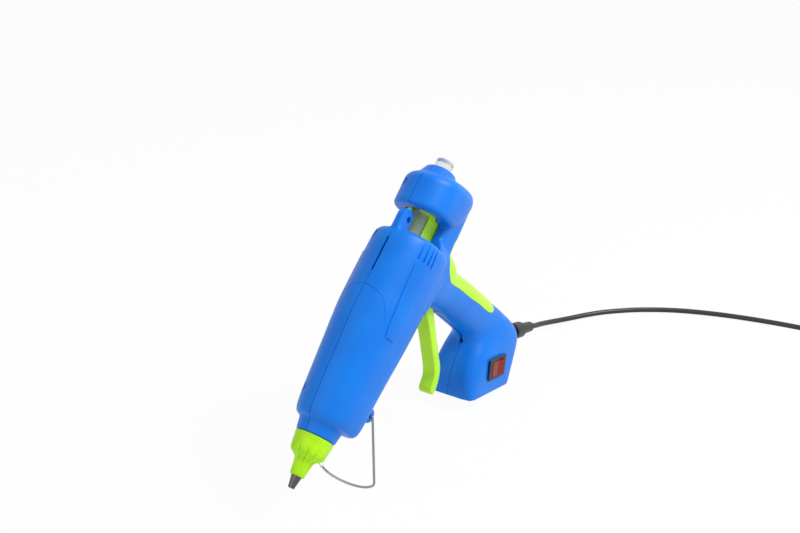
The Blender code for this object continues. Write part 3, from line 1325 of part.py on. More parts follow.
def make_rocker():
    """A red rocker that stands tipped to one side, its low end level with the bezel."""
    half = ROCKER_LENGTH / 2 - GAP
    top = half - 2 * GAP
    points = [(-top, ROCKER_END_RISE), (0.0, ROCKER_MIDDLE_RISE), (top, ROCKER_END_RISE),
              (half, -ROCKER_PIVOT_DEPTH), (half / 2, -ROCKER_DEPTH + 2 * RUNNING_GAP),
              (-half / 2, -ROCKER_DEPTH + 2 * RUNNING_GAP), (-half, -ROCKER_PIVOT_DEPTH)]
    shape = plate("switch_rocker", [(-x, z) for x, z in points], ROCKER_WIDTH / 2)
    pins = rod("trunnions", (0, -SWITCH_BODY_WIDTH / 2 + GAP, -ROCKER_PIVOT_DEPTH),
               (0, SWITCH_BODY_WIDTH / 2 - GAP, -ROCKER_PIVOT_DEPTH), ROCKER_PIN_RADIUS, sides=12)
    shape = combine(shape, pins, "UNION")
    pivot = Matrix.Translation((0, 0, -ROCKER_PIVOT_DEPTH))
    shape.data.transform(pivot @ Matrix.Rotation(-ROCKER_TRAVEL / 2, 4, "Y") @ pivot.inverted())
    return on_base("switch_rocker", shape)


def make_terminal(name, side):
    middle = side * TERMINAL_PITCH / 2
    low = -SWITCH_BODY_DEPTH - GAP
    blade = box(name, (middle - TERMINAL_HALF_THICKNESS, -TERMINAL_HALF_WIDTH, low - TERMINAL_LENGTH),
                (middle + TERMINAL_HALF_THICKNESS, TERMINAL_HALF_WIDTH, low))
    return on_base(name, blade)


def along_relief(item):
    """Moves a piece turned round the stick's axis to the relief's, its zero at the base's rear face."""
    face, away = relief_axis()
    angle = math.atan2(away.z, -away.x)
    item.data.transform(Matrix.Translation(face) @ Matrix.Rotation(angle, 4, "Y"))
    return item


def make_relief():
    """A sleeve with a flange inside the base, a neck in its wall, a flange in its seat, grooves to bend by,
    a collar, and a tip that narrows towards the cord."""
    inner = -RELIEF_SEAT_DEPTH - GAP
    seat = -RELIEF_SINK + GAP
    flange_end = seat + RELIEF_FLANGE_LENGTH
    bore = CORD_RADIUS + GAP
    outline = [(inner - RELIEF_INNER_FLANGE, RELIEF_FLANGE_RADIUS), (inner, RELIEF_FLANGE_RADIUS),
               (inner, RELIEF_NECK_RADIUS), (seat, RELIEF_NECK_RADIUS), (seat, RELIEF_FLANGE_RADIUS),
               (flange_end, RELIEF_FLANGE_RADIUS)]
    bands = 2 * RELIEF_GROOVES + 1
    step = (RELIEF_COLLAR_X - flange_end) / bands
    for i in range(bands):
        radius = RELIEF_SLEEVE_RADIUS - (RELIEF_GROOVE_DEPTH if i % 2 else 0.0)
        outline += [(flange_end + i * step, radius), (flange_end + (i + 1) * step, radius)]
    collar_end = RELIEF_COLLAR_X + RELIEF_COLLAR_LENGTH
    rounding = RELIEF_COLLAR_ROUNDING
    outline += [(RELIEF_COLLAR_X, RELIEF_COLLAR_RADIUS - rounding), (RELIEF_COLLAR_X + rounding, RELIEF_COLLAR_RADIUS),
                (collar_end - rounding, RELIEF_COLLAR_RADIUS), (collar_end, RELIEF_COLLAR_RADIUS - rounding),
                (collar_end, RELIEF_SLEEVE_RADIUS), (RELIEF_LENGTH - rounding, RELIEF_TIP_RADIUS),
                (RELIEF_LENGTH, RELIEF_TIP_RADIUS - rounding), (RELIEF_LENGTH, bore), (inner - RELIEF_INNER_FLANGE, bore)]
    return along_relief(turned("strain_relief", outline, 18))


def make_inner_lead():
    """The lead inside the relief and the base, up to the clamp."""
    face, away = relief_axis()
    start = face + away * (RELIEF_LENGTH - GAP)
    end = face - away * (RELIEF_SEAT_DEPTH + RELIEF_INNER_FLANGE + CLAMP_DEPTH + CLAMP_LENGTH)
    return rod("inner_lead", start, end, CORD_RADIUS, sides=16)


def clamp_frame():
    """Places the clamp over the lead, its length along the lead and its height square to it."""
    face, away = relief_axis()
    turn = Matrix((away, Vector((0, 1, 0)), away.cross(Vector((0, 1, 0))))).transposed().to_4x4()
    middle = face - away * (RELIEF_SEAT_DEPTH + RELIEF_INNER_FLANGE + CLAMP_DEPTH)
    return Matrix.Translation(middle) @ turn


def make_clamp(name, side):
    """One of the two bars that grip the lead, with a groove for it and holes for the screws."""
    near = GAP
    half_length = CLAMP_LENGTH / 2
    low, high = sorted((side * near, side * (near + CORD_RADIUS + CLAMP_THICKNESS)))
    bar = box(name, (-half_length, -CLAMP_HALF_WIDTH, low), (half_length, CLAMP_HALF_WIDTH, high))
    cuts = [rod("lead_groove", (-CLAMP_LENGTH, 0, 0), (CLAMP_LENGTH, 0, 0), CORD_RADIUS + GAP, sides=16)]
    for left in (-CLAMP_SCREW_Y, CLAMP_SCREW_Y):
        cuts.append(rod("clamp_hole", (0, left, -2 * CLAMP_HALF_WIDTH), (0, left, 2 * CLAMP_HALF_WIDTH),
                        SCREW_SHANK_RADIUS + GAP, sides=12))
    bar = without(bar, cuts)
    bar.data.transform(clamp_frame())
    bar.name = name
    return bar


def coil_points(centre):
    """A piled coil: each layer spirals in or out at a steady rate and climbs in the half turn where it turns back."""
    span = COIL_PITCH * COIL_TURNS
    outer = COIL_RADIUS + span / 2
    points = []
    count = round(COIL_LAYERS * COIL_TURNS * COIL_POINTS)
    for i in range(count + 1):
        turn = i / COIL_POINTS
        layer, part = divmod(turn / COIL_TURNS, 1.0)
        inward = part if layer % 2 == 0 else 1 - part
        radius = outer - span * inward
        # height in layers: level but for a quarter turn on each side of a reversal
        climb = (turn - COIL_TURNS * round(turn / COIL_TURNS)) * 4
        level = turn / COIL_TURNS // 1
        if 0 < round(turn / COIL_TURNS) < COIL_LAYERS and abs(climb) < 1:
            level = round(turn / COIL_TURNS) - 0.5 + 0.5 * math.sin(climb * math.pi / 2)
        level = min(level, COIL_LAYERS - 1)
        angle = math.pi - 2 * math.pi * turn
        height = COIL_LIFT + CORD_RADIUS + level * COIL_PITCH
        points.append(centre + Vector((radius * math.cos(angle), radius * math.sin(angle), height)))
    return points


def least_gap(points, skip):
    """The least clear distance between stretches of a tube that are not neighbours."""
    least = math.inf
    pieces = list(zip(points, points[1:]))
    for i, (start, end) in enumerate(pieces):
        for other_start, other_end in pieces[i + skip:]:
            if (other_start - start).length < least + 4 * COIL_PITCH + 2 * CORD_RADIUS:
                least = min(least, stretch_distance(start, end, other_start, other_end) - 2 * CORD_RADIUS)
    return least


def stretch_distance(a, b, c, d):
    """The distance between two short straight stretches, on points along them."""
    near = math.inf
    for i in range(5):
        spot = a.lerp(b, i / 4)
        along = d - c
        share = min(1.0, max(0.0, (spot - c).dot(along) / along.length_squared))
        near = min(near, (spot - c - along * share).length)
    return near


def length_of(points):
    return sum((end - start).length for start, end in zip(points, points[1:]))


def lead_routes(exit_point, away):
    """The free stretch, the coil and the tail of the lead, as lists of points over the floor. Every end runs
    straight for one lead's width."""
    start = exit_point + away * GAP
    base = Vector((exit_point.x, exit_point.y, 0))
    straight = Vector((0, 2 * CORD_RADIUS, 0))
    between = Vector((0, GAP, 0))
    knots = [start, start + away * (2 * CORD_RADIUS)] + [base + Vector(point) for point in CORD_ROUTE]
    route = smooth_path(knots, CORD_STEP)
    route.append(route[-1] + straight)
    coil_start = route[-1] + between
    centre = coil_start + straight + Vector((COIL_RADIUS + COIL_PITCH * COIL_TURNS / 2, 0, 0))
    centre.z = 0
    turns = coil_points(centre)
    coil = [turns[0] - straight] + turns + [turns[-1] + straight]
    route[-1].z = route[-2].z = coil[0].z
    tail_start = coil[-1] + between
    end = centre + Vector((PLUG_X - GAP, PLUG_Y, PLUG_HALF_THICKNESS))
    into_plug = Vector((2 * CORD_RADIUS, 0, 0))
    knots = [tail_start + straight] + [centre + Vector(point) for point in TAIL_ROUTE] + [end - into_plug]
    tail = [tail_start] + smooth_path(knots, CORD_STEP / 2) + [end]
    return route, coil, tail, centre


def make_tie(centre):
    """A strap round the coil's bundle, on the side away from the plug."""
    span = COIL_PITCH * COIL_TURNS / 2 + CORD_RADIUS + TIE_SLACK
    high = COIL_LIFT + 2 * CORD_RADIUS + (COIL_LAYERS - 1) * COIL_PITCH + TIE_SLACK
    low = COIL_LIFT - GAP
    half = TIE_WIDTH / 2
    middle = centre - Vector((0, COIL_RADIUS, 0))
    outer = box("cord_tie", middle + Vector((-half, -span - TIE_THICKNESS, low - TIE_THICKNESS)),
                middle + Vector((half, span + TIE_THICKNESS, high + TIE_THICKNESS)))
    inner = box("tie_hole", middle + Vector((-TIE_WIDTH, -span, low)), middle + Vector((TIE_WIDTH, span, high)))
    return combine(outer, inner, "DIFFERENCE")


def make_plug(centre):
    """A flat two-pin plug lying on its side, its lead coming in level."""
    start = centre + Vector((PLUG_X, PLUG_Y, PLUG_HALF_THICKNESS))
    outline = [(along * PLUG_LENGTH, half * PLUG_HALF_WIDTH) for along, half in PLUG_OUTLINE_SHARES]
    outline += [(along, -half) for along, half in reversed(outline)]
    body = plate("plug_body", [(-along, half) for along, half in outline], PLUG_HALF_THICKNESS, PLUG_HALF_THICKNESS / 4)
    body.data.transform(Matrix.Translation(start + Vector((PLUG_NECK_LENGTH, 0, 0)))
                        @ Matrix.Rotation(math.radians(-90), 4, "X"))
    neck = rod("plug_neck", start, start + Vector((PLUG_NECK_LENGTH + PLUG_NECK_RADIUS, 0, 0)),
               RELIEF_TIP_RADIUS, PLUG_NECK_RADIUS, sides=20)
    body = combine(body, neck, "UNION")
    face = start + Vector((PLUG_NECK_LENGTH + PLUG_LENGTH + GAP, 0, 0))
    pins = []
    for i, side in enumerate((-1, 1)):
        root = face + Vector((0, side * PLUG_PIN_PITCH / 2, 0))
        pin = rod("plug_pin_%d" % (i + 1), root, root + Vector((PLUG_PIN_LENGTH, 0, 0)), PLUG_PIN_RADIUS, sides=20)
        pins.append(bevelled(pin, PLUG_PIN_RADIUS / 3))
    return body, pins


def shade(item):
    """Smooth shading with the real edges kept sharp."""
    item.data.shade_smooth()
    item.data.set_sharp_from_angle(angle=math.radians(35))


def low_and_high(items):
    low, high = Vector((math.inf,) * 3), Vector((-math.inf,) * 3)
    for item in items:
        for vertex in item.data.vertices:
            place = item.matrix_world @ vertex.co
            low = Vector(map(min, low, place))
            high = Vector(map(max, high, place))
    return low, high


def on_pivot(item, pivot):
    """Moves an item's origin to its joint's axis."""
    item.data.transform(Matrix.Translation(-pivot))
    item.location = pivot
    return item


def make_gun(group):
    """Every piece of the gun, in its own frame."""
    blue = plastic("blue_abs", (0.0, 0.23, 0.81), 0.42)
    lime = plastic("lime_abs", (0.48, 0.92, 0.0), 0.4)
    lime_rubber = plastic("lime_silicone", (0.5, 0.95, 0.01), 0.5)
    dark_steel = plastic("nozzle_steel", (0.2, 0.19, 0.18), 0.35, 1.0)
    wire_steel = plastic("spring_wire", (0.72, 0.72, 0.72), 0.22, 1.0)
    clear = plastic("clear_glue", (0.82, 0.83, 0.84), 0.15)
    black = plastic("black_nylon", (0.012, 0.012, 0.013), 0.4)
    red = plastic("red_polycarbonate", (0.35, 0.0, 0.005), 0.25)
    cast = plastic("cast_aluminium", (0.6, 0.6, 0.6), 0.45, 1.0)
    ceramic = plastic("heater_film", (0.55, 0.2, 0.04), 0.5)
    phenolic = plastic("brown_phenolic", (0.12, 0.05, 0.02), 0.6)
    silicone = plastic("white_silicone", (0.75, 0.73, 0.7), 0.5)
    steel = plastic("zinc_steel", (0.55, 0.55, 0.56), 0.35, 1.0)
    brass = plastic("tinned_brass", (0.6, 0.5, 0.3), 0.35, 1.0)
    lead = plastic("black_pvc", (0.01, 0.01, 0.01), 0.45)

    casing = casing_outside()
    casing = without(casing, casing_inside())
    casing = without(casing, casing_cuts() + [strap_space(GAP)])
    pieces = []

    def add(item, material, pivot=None):
        link(item, group, material)
        if pivot is not None:
            on_pivot(item, pivot)
        pieces.append(item)

    add(half_casing(casing, "shell_left", 1), blue)
    add(half_casing(casing, "shell_right", -1), blue)
    bpy.data.objects.remove(casing, do_unlink=True)
    for name, behind, up in screw_places():
        add(make_screw(name, behind, up), steel)
    add(make_boot(), lime_rubber)
    add(make_nozzle(), dark_steel)
    add(make_stand(), wire_steel, gun(LUG_X, 0, -LUG_Z))
    rest, pulled = arm_points()
    pivot = gun(PIVOT_X, 0, -PIVOT_Z)
    add(make_trigger(), lime, pivot)
    add(make_strap(), lime)
    add(make_stick(), clear)
    add(make_carriage(), lime)
    add(make_switch_housing(), black)
    add(make_rocker(), red, base_frame() @ Vector((0, 0, -ROCKER_PIVOT_DEPTH)))
    for i, side in enumerate((-1, 1)):
        add(make_terminal("switch_terminal_%d" % (i + 1), side), brass)
    add(make_relief(), black)
    add(make_inner_lead(), lead)
    add(make_clamp("cord_clamp_upper", 1), black)
    add(make_clamp("cord_clamp_lower", -1), black)
    add(make_chamber(), cast)
    add(make_heater(), ceramic)
    add(make_heater_clip(), steel)
    add(make_insulator("front_insulator", FRONT_INSULATOR_X), phenolic)
    add(make_insulator("rear_insulator", REAR_INSULATOR_X), phenolic)
    add(make_sleeve(), silicone)
    add(make_sleeve_clip(), steel)
    add(make_jaw(), steel, gun(JAW_PIN_X, 0, JAW_PIN_Z))
    add(make_pin("jaw_pin", (JAW_PIN_X, JAW_PIN_Z), JAW_PIN_RADIUS, JAW_EAR_HALF_WIDTH), steel)
    add(make_pin("trigger_pin", (PIVOT_X, -PIVOT_Z), PIVOT_PIN_RADIUS, PIVOT_PIN_HALF_LENGTH), steel, pivot)
    add(make_pin("drive_pin", rest, DRIVE_PIN_RADIUS, DRIVE_PIN_HALF_LENGTH), steel, pivot)
    add(make_spring(), wire_steel)
    return pieces, lead, black, brass


def make_lead(group, exit_point, away, lead, black, brass):
    route, coil, tail, centre = lead_routes(exit_point, away)
    link(plain_mesh(tube("mains_cord", route, CORD_RADIUS, 2)), group, lead)
    link(plain_mesh(tube("cord_coil", coil, CORD_RADIUS, 1)), group, lead)
    link(plain_mesh(tube("cord_tail", tail, CORD_RADIUS, 1)), group, lead)
    link(make_tie(centre), group, black)
    body, pins = make_plug(centre)
    link(body, group, black)
    for pin in pins:
        link(pin, group, brass)
    print("lead length %.3f m" % (length_of(route) + length_of(coil) + length_of(tail)))
    print("coil's least gap to itself %.2f mm" % (1000 * least_gap(coil, COIL_POINTS // 2)))


def main():
    clear_scene()
    group = collection(PARTS_NAME)
    pieces, lead, black, brass = make_gun(group)
    tilt = bpy.data.objects.new("rest_tilt", None)
    group.objects.link(tilt)
    tilt.rotation_euler = (0, REST_TILT, 0)
    for piece in pieces:
        piece.parent = tilt
    bpy.context.view_layer.update()
    low, high = low_and_high(pieces)
    tilt.location = (-(low.x + high.x) / 2, -(low.y + high.y) / 2, -low.z)
    bpy.context.view_layer.update()
    face, away = relief_axis()
    end = tilt.matrix_world @ (face + away * RELIEF_LENGTH)
    outward = (tilt.matrix_world.to_3x3() @ away).normalized()
    make_lead(group, end, outward, lead, black, brass)
    for item in group.objects:
        if item.type == "MESH":
            shade(item)


main()
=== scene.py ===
# %% [markdown]
# A mains glue gun for 11 mm sticks, standing nose down on its wire stand and the heel of its handle.
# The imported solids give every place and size. The scene gives them the forms and the surfaces that the real
# gun shows: moulded shells with soft edges, a fluted silicone boot, a clear stick, a lead with its plug.

import math

import bmesh
import bpy
import numpy as np
from mathutils import Matrix, Vector


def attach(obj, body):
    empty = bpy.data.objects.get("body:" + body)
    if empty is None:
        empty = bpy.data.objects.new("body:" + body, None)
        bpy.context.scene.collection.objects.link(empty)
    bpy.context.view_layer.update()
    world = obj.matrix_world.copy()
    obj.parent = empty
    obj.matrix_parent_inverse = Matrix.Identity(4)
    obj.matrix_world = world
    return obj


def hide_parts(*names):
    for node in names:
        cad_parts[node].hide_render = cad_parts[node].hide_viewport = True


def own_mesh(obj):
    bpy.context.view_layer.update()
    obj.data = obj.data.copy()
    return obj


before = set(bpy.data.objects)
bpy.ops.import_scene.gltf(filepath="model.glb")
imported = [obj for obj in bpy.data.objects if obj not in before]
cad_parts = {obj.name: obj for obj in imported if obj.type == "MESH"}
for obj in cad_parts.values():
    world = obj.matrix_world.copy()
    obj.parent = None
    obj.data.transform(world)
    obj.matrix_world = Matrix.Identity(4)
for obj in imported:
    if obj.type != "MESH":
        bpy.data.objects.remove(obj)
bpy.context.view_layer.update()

# %% [markdown]
# The gun was drawn along its stick and then tilted. All new pieces are drawn the same way, in millimetres:
# x is minus the distance behind the nozzle's tip, y is the gun's left, z is up, square to the stick. One matrix
# stands them on the floor, in metres, where the solids are.

# %% The gun's own frame
TILT = math.radians(44.0)
STAND = Matrix.Translation((0.13727, 0.0, 0.02397)) @ Matrix.Rotation(TILT, 4, "Y") @ Matrix.Scale(0.001, 4)


def gun(behind, left, up):
    return Vector((-behind, left, up))


print("the tip stands at", [round(v, 4) for v in STAND @ gun(0, 0, 0)])

# %% [markdown]
# The camera comes first, so that each piece can be judged in the picture's own frame. The lens and the
# place are those at which the solids' outline lies on the outline of the real gun.

# %% The camera
camera_data = bpy.data.cameras.new("camera")
camera_data.sensor_width = 36.0
camera_data.lens = 48.86
camera_data.clip_start = 0.01
camera = bpy.data.objects.new("camera", camera_data)
bpy.context.scene.collection.objects.link(camera)
CAMERA_RIGHT = Vector((-0.572, 0.820, 0.0)).normalized()
CAMERA_BACK = Vector((0.758, 0.529, 0.381)).normalized()
CAMERA_UP = CAMERA_BACK.cross(CAMERA_RIGHT)
facing = Matrix((CAMERA_RIGHT, CAMERA_UP, CAMERA_BACK)).transposed().to_4x4()
CAMERA_PLACE = Vector((0.51906, 0.34058, 0.36568)) - 0.0005 * CAMERA_RIGHT
camera.matrix_world = Matrix.Translation(CAMERA_PLACE) @ facing
bpy.context.scene.camera = camera
print("camera at", [round(v, 3) for v in camera.matrix_world.translation])

# %% [markdown]
# A photographer would stand the gun on white card under a big soft box, with white walls round it. The soft
# box hangs on the camera's right, so the top and right of the casing are bright and its nose side falls off.
# The card and the sky are white where the camera, a gloss or clear plastic sees them, and the card still
# takes a faint shadow.

# %% Colours and shader nodes
def linear(hex_colour):
    """An sRGB hex colour as the linear values that a shader takes."""
    values = [int(hex_colour[i:i + 2], 16) / 255 for i in (1, 3, 5)]
    return tuple(v / 12.92 if v <= 0.04045 else ((v + 0.055) / 1.055) ** 2.4 for v in values)


def rgba(hex_colour):
    return (*linear(hex_colour), 1.0)


def add_node(tree, kind, settings=None, inputs=None):
    """A shader node, with its own settings, and its inputs given as values or as other nodes' outputs."""
    node = tree.nodes.new(kind)
    for key, value in (settings or {}).items():
        setattr(node, key, value)
    for key, value in (inputs or {}).items():
        if isinstance(value, bpy.types.NodeSocket):
            tree.links.new(value, node.inputs[key])
        else:
            node.inputs[key].default_value = value
    return node


print("bright blue is", [round(v, 3) for v in linear("#0088EE")])

# %% The white card, the sky and the lamps
WHITE = rgba("#FFFFFF")
CARD_HALF, CARD_DROP, CARD_GLOW_SHARE = 3, 0.0002, 0.95
SKY_LIGHT, SKY_SEEN = 0.4, 1.0
LAMPS_AIM = Vector((0, 0, 0.08))


def seen_directly(tree):
    """1 for rays from the camera, a gloss or clear plastic, and 0 for the light that falls on things."""
    path = add_node(tree, "ShaderNodeLightPath")
    first = add_node(tree, "ShaderNodeMath", {"operation": "MAXIMUM"},
                     {0: path.outputs["Is Camera Ray"], 1: path.outputs["Is Glossy Ray"]})
    return add_node(tree, "ShaderNodeMath", {"operation": "MAXIMUM"},
                    {0: first.outputs[0], 1: path.outputs["Is Transmission Ray"]}).outputs[0]


card_finish = bpy.data.materials.new("white_card")
card_finish.use_nodes = True
tree = card_finish.node_tree
tree.nodes.clear()
card_matt = add_node(tree, "ShaderNodeBsdfDiffuse", inputs={"Color": rgba("#F4F4F4")})
card_glow = add_node(tree, "ShaderNodeEmission", inputs={"Color": WHITE, "Strength": 1.0})
card_share = add_node(tree, "ShaderNodeMath", {"operation": "MULTIPLY"},
                      {0: seen_directly(tree), 1: CARD_GLOW_SHARE})
card_mix = add_node(tree, "ShaderNodeMixShader",
                    inputs={0: card_share.outputs[0], 1: card_matt.outputs[0], 2: card_glow.outputs[0]})
add_node(tree, "ShaderNodeOutputMaterial", inputs={"Surface": card_mix.outputs[0]})

card_mesh = bpy.data.meshes.new("card")
card_corners = [(x * CARD_HALF, y * CARD_HALF, 0) for x, y in ((-1, -1), (1, -1), (1, 1), (-1, 1))]
card_mesh.from_pydata(card_corners, [], [(0, 1, 2, 3)])
card = bpy.data.objects.new("card", card_mesh)
card.data.materials.append(card_finish)
bpy.context.scene.collection.objects.link(card)
card.location.z = -CARD_DROP

sky = bpy.data.worlds.new("sky")
sky.use_nodes = True
tree = sky.node_tree
tree.nodes.clear()
sky_level = add_node(tree, "ShaderNodeMapRange", inputs={0: seen_directly(tree), 3: SKY_LIGHT, 4: SKY_SEEN})
sky_light = add_node(tree, "ShaderNodeBackground", inputs={"Color": WHITE, "Strength": sky_level.outputs[0]})
add_node(tree, "ShaderNodeOutputWorld", inputs={"Surface": sky_light.outputs[0]})
bpy.context.scene.world = sky


def soft_box(name, place, size, watts):
    """A square lamp that faces the middle of the gun."""
    data = bpy.data.lights.new(name, "AREA")
    data.size = size
    data.energy = watts
    lamp = bpy.data.objects.new(name, data)
    lamp.location = place
    lamp.rotation_euler = (Vector(place) - LAMPS_AIM).to_track_quat("Z", "Y").to_euler()
    bpy.context.scene.collection.objects.link(lamp)
    return lamp


soft_box("key_box", (-0.35, 0.75, 1.05), 0.6, 14.0)
soft_box("fill_box", (0.9, -0.1, 0.5), 0.9, 2.0)
bpy.context.scene.view_settings.view_transform = "Standard"
print("one card, one sky, two lamps")

# %% [markdown]
# The lead is a slim round two-core cable, 4 mm thick in black PVC. It leaves the sleeve at the heel, sags to
# the floor, runs away out of the picture and ends in a neat coil with a tie and a flat two-pin plug. A curve
# with a bevel would draw it in fewer lines, but a tube of rings swept along the solids' own route is a plain
# mesh, whose size can be measured.

# %% The lead's route
LEAD_RADIUS, LEAD_SIDES = 0.0020, 14
LEAD_EXIT = Vector((-0.13785, 0.0, 0.01495))
LEAD_AWAY = Vector((-0.97196, 0.0, -0.23514))
CLEARANCE = 0.0003
ROUTE = (
    (-0.0080, 0.0, 0.0125), (-0.0180, 0.0002, 0.0101), (-0.0290, 0.0013, 0.0075), (-0.0420, 0.0040, 0.0049),
    (-0.0540, 0.0080, 0.0033), (-0.0690, 0.0155, 0.0025), (-0.0836, 0.0265, 0.0024), (-0.1016, 0.0460, 0.0024),
    (-0.1176, 0.0720, 0.0024), (-0.1296, 0.1040, 0.0024), (-0.1376, 0.1400, 0.0025), (-0.1416, 0.1750, 0.0027),
    (-0.1426, 0.2060, 0.0028),
)
COIL = {"radius": 0.0215, "pitch": 0.0046, "layers": 4, "turns": 2.25, "points": 36, "lift": 0.0008}
TAIL = (
    (-0.0266, 0.0110, 0.0162), (-0.0250, 0.0190, 0.0148), (-0.0205, 0.0270, 0.0124), (-0.0135, 0.0335, 0.0098),
    (-0.0050, 0.0370, 0.0078), (0.0035, 0.0380, 0.0069),
)
PLUG_X, PLUG_Y, PLUG_HALF_THICKNESS = 0.0140, 0.0380, 0.0068


def smooth_path(knots, parts=6):
    """Points of a smooth curve through the knots."""
    knots = [Vector(knot) for knot in knots]
    ends = [2 * knots[0] - knots[1]] + knots + [2 * knots[-1] - knots[-2]]
    fine = []
    for before, start, end, after in zip(ends, ends[1:], ends[2:], ends[3:]):
        for i in range(parts):
            s = i / parts
            fine.append(0.5 * (2 * start + (end - before) * s
                               + (2 * before - 5 * start + 4 * end - after) * s ** 2
                               + (3 * start - 3 * end + after - before) * s ** 3))
    return fine + [knots[-1]]


def coil_points(centre):
    """Layers that spiral in and out, each climbing to the next in half a turn."""
    span = COIL["pitch"] * COIL["turns"]
    outer = COIL["radius"] + span / 2
    points = []
    for i in range(round(COIL["layers"] * COIL["turns"] * COIL["points"]) + 1):
        turn = i / COIL["points"]
        layer, part = divmod(turn / COIL["turns"], 1.0)
        radius = outer - span * (part if layer % 2 == 0 else 1 - part)
        nearest = round(turn / COIL["turns"])
        climb = (turn - COIL["turns"] * nearest) * 4
        level = layer
        if 0 < nearest < COIL["layers"] and abs(climb) < 1:
            level = nearest - 0.5 + 0.5 * math.sin(climb * math.pi / 2)
        level = min(level, COIL["layers"] - 1)
        angle = math.pi - 2 * math.pi * turn
        height = COIL["lift"] + LEAD_RADIUS + level * COIL["pitch"]
        points.append(centre + Vector((radius * math.cos(angle), radius * math.sin(angle), height)))
    return points


def lead_points():
    """The whole route: down to the floor and away, round the coil, and on to the plug."""
    start = LEAD_EXIT + LEAD_AWAY * CLEARANCE
    base = Vector((LEAD_EXIT.x, LEAD_EXIT.y, 0))
    straight = Vector((0, 2 * LEAD_RADIUS, 0))
    between = Vector((0, CLEARANCE, 0))
    route = smooth_path([start, start + LEAD_AWAY * (2 * LEAD_RADIUS)] + [base + Vector(p) for p in ROUTE])
    route.append(route[-1] + straight)
    centre = route[-1] + between + straight + Vector((COIL["radius"] + COIL["pitch"] * COIL["turns"] / 2, 0, 0))
    centre.z = 0
    coil = coil_points(centre)
    coil = [coil[0] - straight] + coil + [coil[-1] + straight]
    route[-1].z = route[-2].z = coil[0].z
    start = coil[-1] + between
    end = centre + Vector((PLUG_X - CLEARANCE, PLUG_Y, PLUG_HALF_THICKNESS))
    tail = smooth_path([start + straight] + [centre + Vector(p) for p in TAIL]
                       + [end - Vector((2 * LEAD_RADIUS, 0, 0))])
    return route + coil + [start] + tail + [end]


points = lead_points()

# %% The lead as a tube
def tube_rings(path, radius, count):
    """Rings round a path, with one side direction carried along it so that the tube never twists."""
    rings, side = [], None
    for i, point in enumerate(path):
        along = (path[min(i + 1, len(path) - 1)] - path[max(i - 1, 0)]).normalized()
        side = along.orthogonal() if side is None else side - along * side.dot(along)
        side.normalize()
        other = along.cross(side)
        rings.append([point + radius * (math.cos(a) * side + math.sin(a) * other)
                      for a in (2 * math.pi * k / count for k in range(count))])
    return rings


def tube_faces(rings):
    count, total = len(rings[0]), len(rings) * len(rings[0])
    faces = [(k * count + i, k * count + (i + 1) % count, (k + 1) * count + (i + 1) % count, (k + 1) * count + i)
             for k in range(len(rings) - 1) for i in range(count)]
    return faces + [tuple(reversed(range(count))), tuple(range(total - count, total))]


lead_rings = tube_rings(points, LEAD_RADIUS, LEAD_SIDES)
lead_mesh = bpy.data.meshes.new("mains_lead")
lead_mesh.from_pydata([tuple(p) for ring in lead_rings for p in ring], [], tube_faces(lead_rings))
lead_mesh.shade_smooth()
mains_lead = bpy.data.objects.new("mains_lead", lead_mesh)
bpy.context.scene.collection.objects.link(mains_lead)
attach(mains_lead, "casing")
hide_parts("mains_cord", "cord_coil", "cord_tail")

# %% [markdown]
# Every other piece is a closed mesh. These few helpers make the plain solids, join them, and cut one from
# another, as a toolmaker would block out a mould and then cut its details.

# %% Plain solids
def mesh_piece(name, points, faces):
    mesh = bpy.data.meshes.new(name)
    mesh.from_pydata([tuple(p) for p in points], [], faces)
    shape = bmesh.new()
    shape.from_mesh(mesh)
    bmesh.ops.recalc_face_normals(shape, faces=shape.faces)
    shape.to_mesh(mesh)
    shape.free()
    piece = bpy.data.objects.new(name, mesh)
    bpy.context.scene.collection.objects.link(piece)
    return piece


def loft(name, rings, closed=False):
    """A solid through rings of equally many points. A closed one has no caps: its last ring meets its first."""
    count = len(rings[0])
    points = [point for ring in rings for point in ring]
    faces = []
    pairs = len(rings) if closed else len(rings) - 1
    for k in range(pairs):
        low, high = k * count, (k + 1) % len(rings) * count
        faces += [(low + i, low + (i + 1) % count, high + (i + 1) % count, high + i) for i in range(count)]
    if not closed:
        faces += [tuple(range(count)), tuple(range(len(points) - count, len(points)))]
    return mesh_piece(name, points, faces)


def circle(centre, along, radius, count=32):
    along = Vector(along).normalized()
    side = along.orthogonal().normalized()
    other = along.cross(side)
    return [Vector(centre) + radius * (math.cos(a) * side + math.sin(a) * other)
            for a in (2 * math.pi * i / count for i in range(count))]


def bar(name, start, end, radius, end_radius=None, count=32):
    """A round bar or cone between two points."""
    along = Vector(end) - Vector(start)
    last = radius if end_radius is None else end_radius
    return loft(name, [circle(start, along, radius, count), circle(end, along, last, count)])


def across(name, behind, up, radius, left_from, left_to, count=32):
    return bar(name, gun(behind, left_from, up), gun(behind, left_to, up), radius, count=count)


def prism(name, outline, half, low=None):
    """A flat outline of (behind, up) points, thickened across the gun from -half, or from low, to half."""
    low = -half if low is None else low
    return loft(name, [[gun(b, low, u) for b, u in outline], [gun(b, half, u) for b, u in outline]])


def block(name, front, rear, half, low, high):
    return prism(name, [(front, low), (rear, low), (rear, high), (front, high)], half)


def turned(name, profile, count=64):
    """A closed profile of (distance behind the tip, radius) points turned round the stick's axis."""
    rings = [[gun(b, r * math.sin(a), r * math.cos(a)) for a in (2 * math.pi * i / count for i in range(count))]
             for b, r in profile]
    return loft(name, rings, closed=True)


print("six kinds of plain solid")

# %% Joining, cutting and settling
def settle_modifiers(piece):
    """The piece with its modifiers made part of its mesh."""
    bpy.context.view_layer.update()
    graph = bpy.context.evaluated_depsgraph_get()
    mesh = bpy.data.meshes.new_from_object(piece.evaluated_get(graph), depsgraph=graph)
    piece.modifiers.clear()
    piece.data = mesh
    return piece


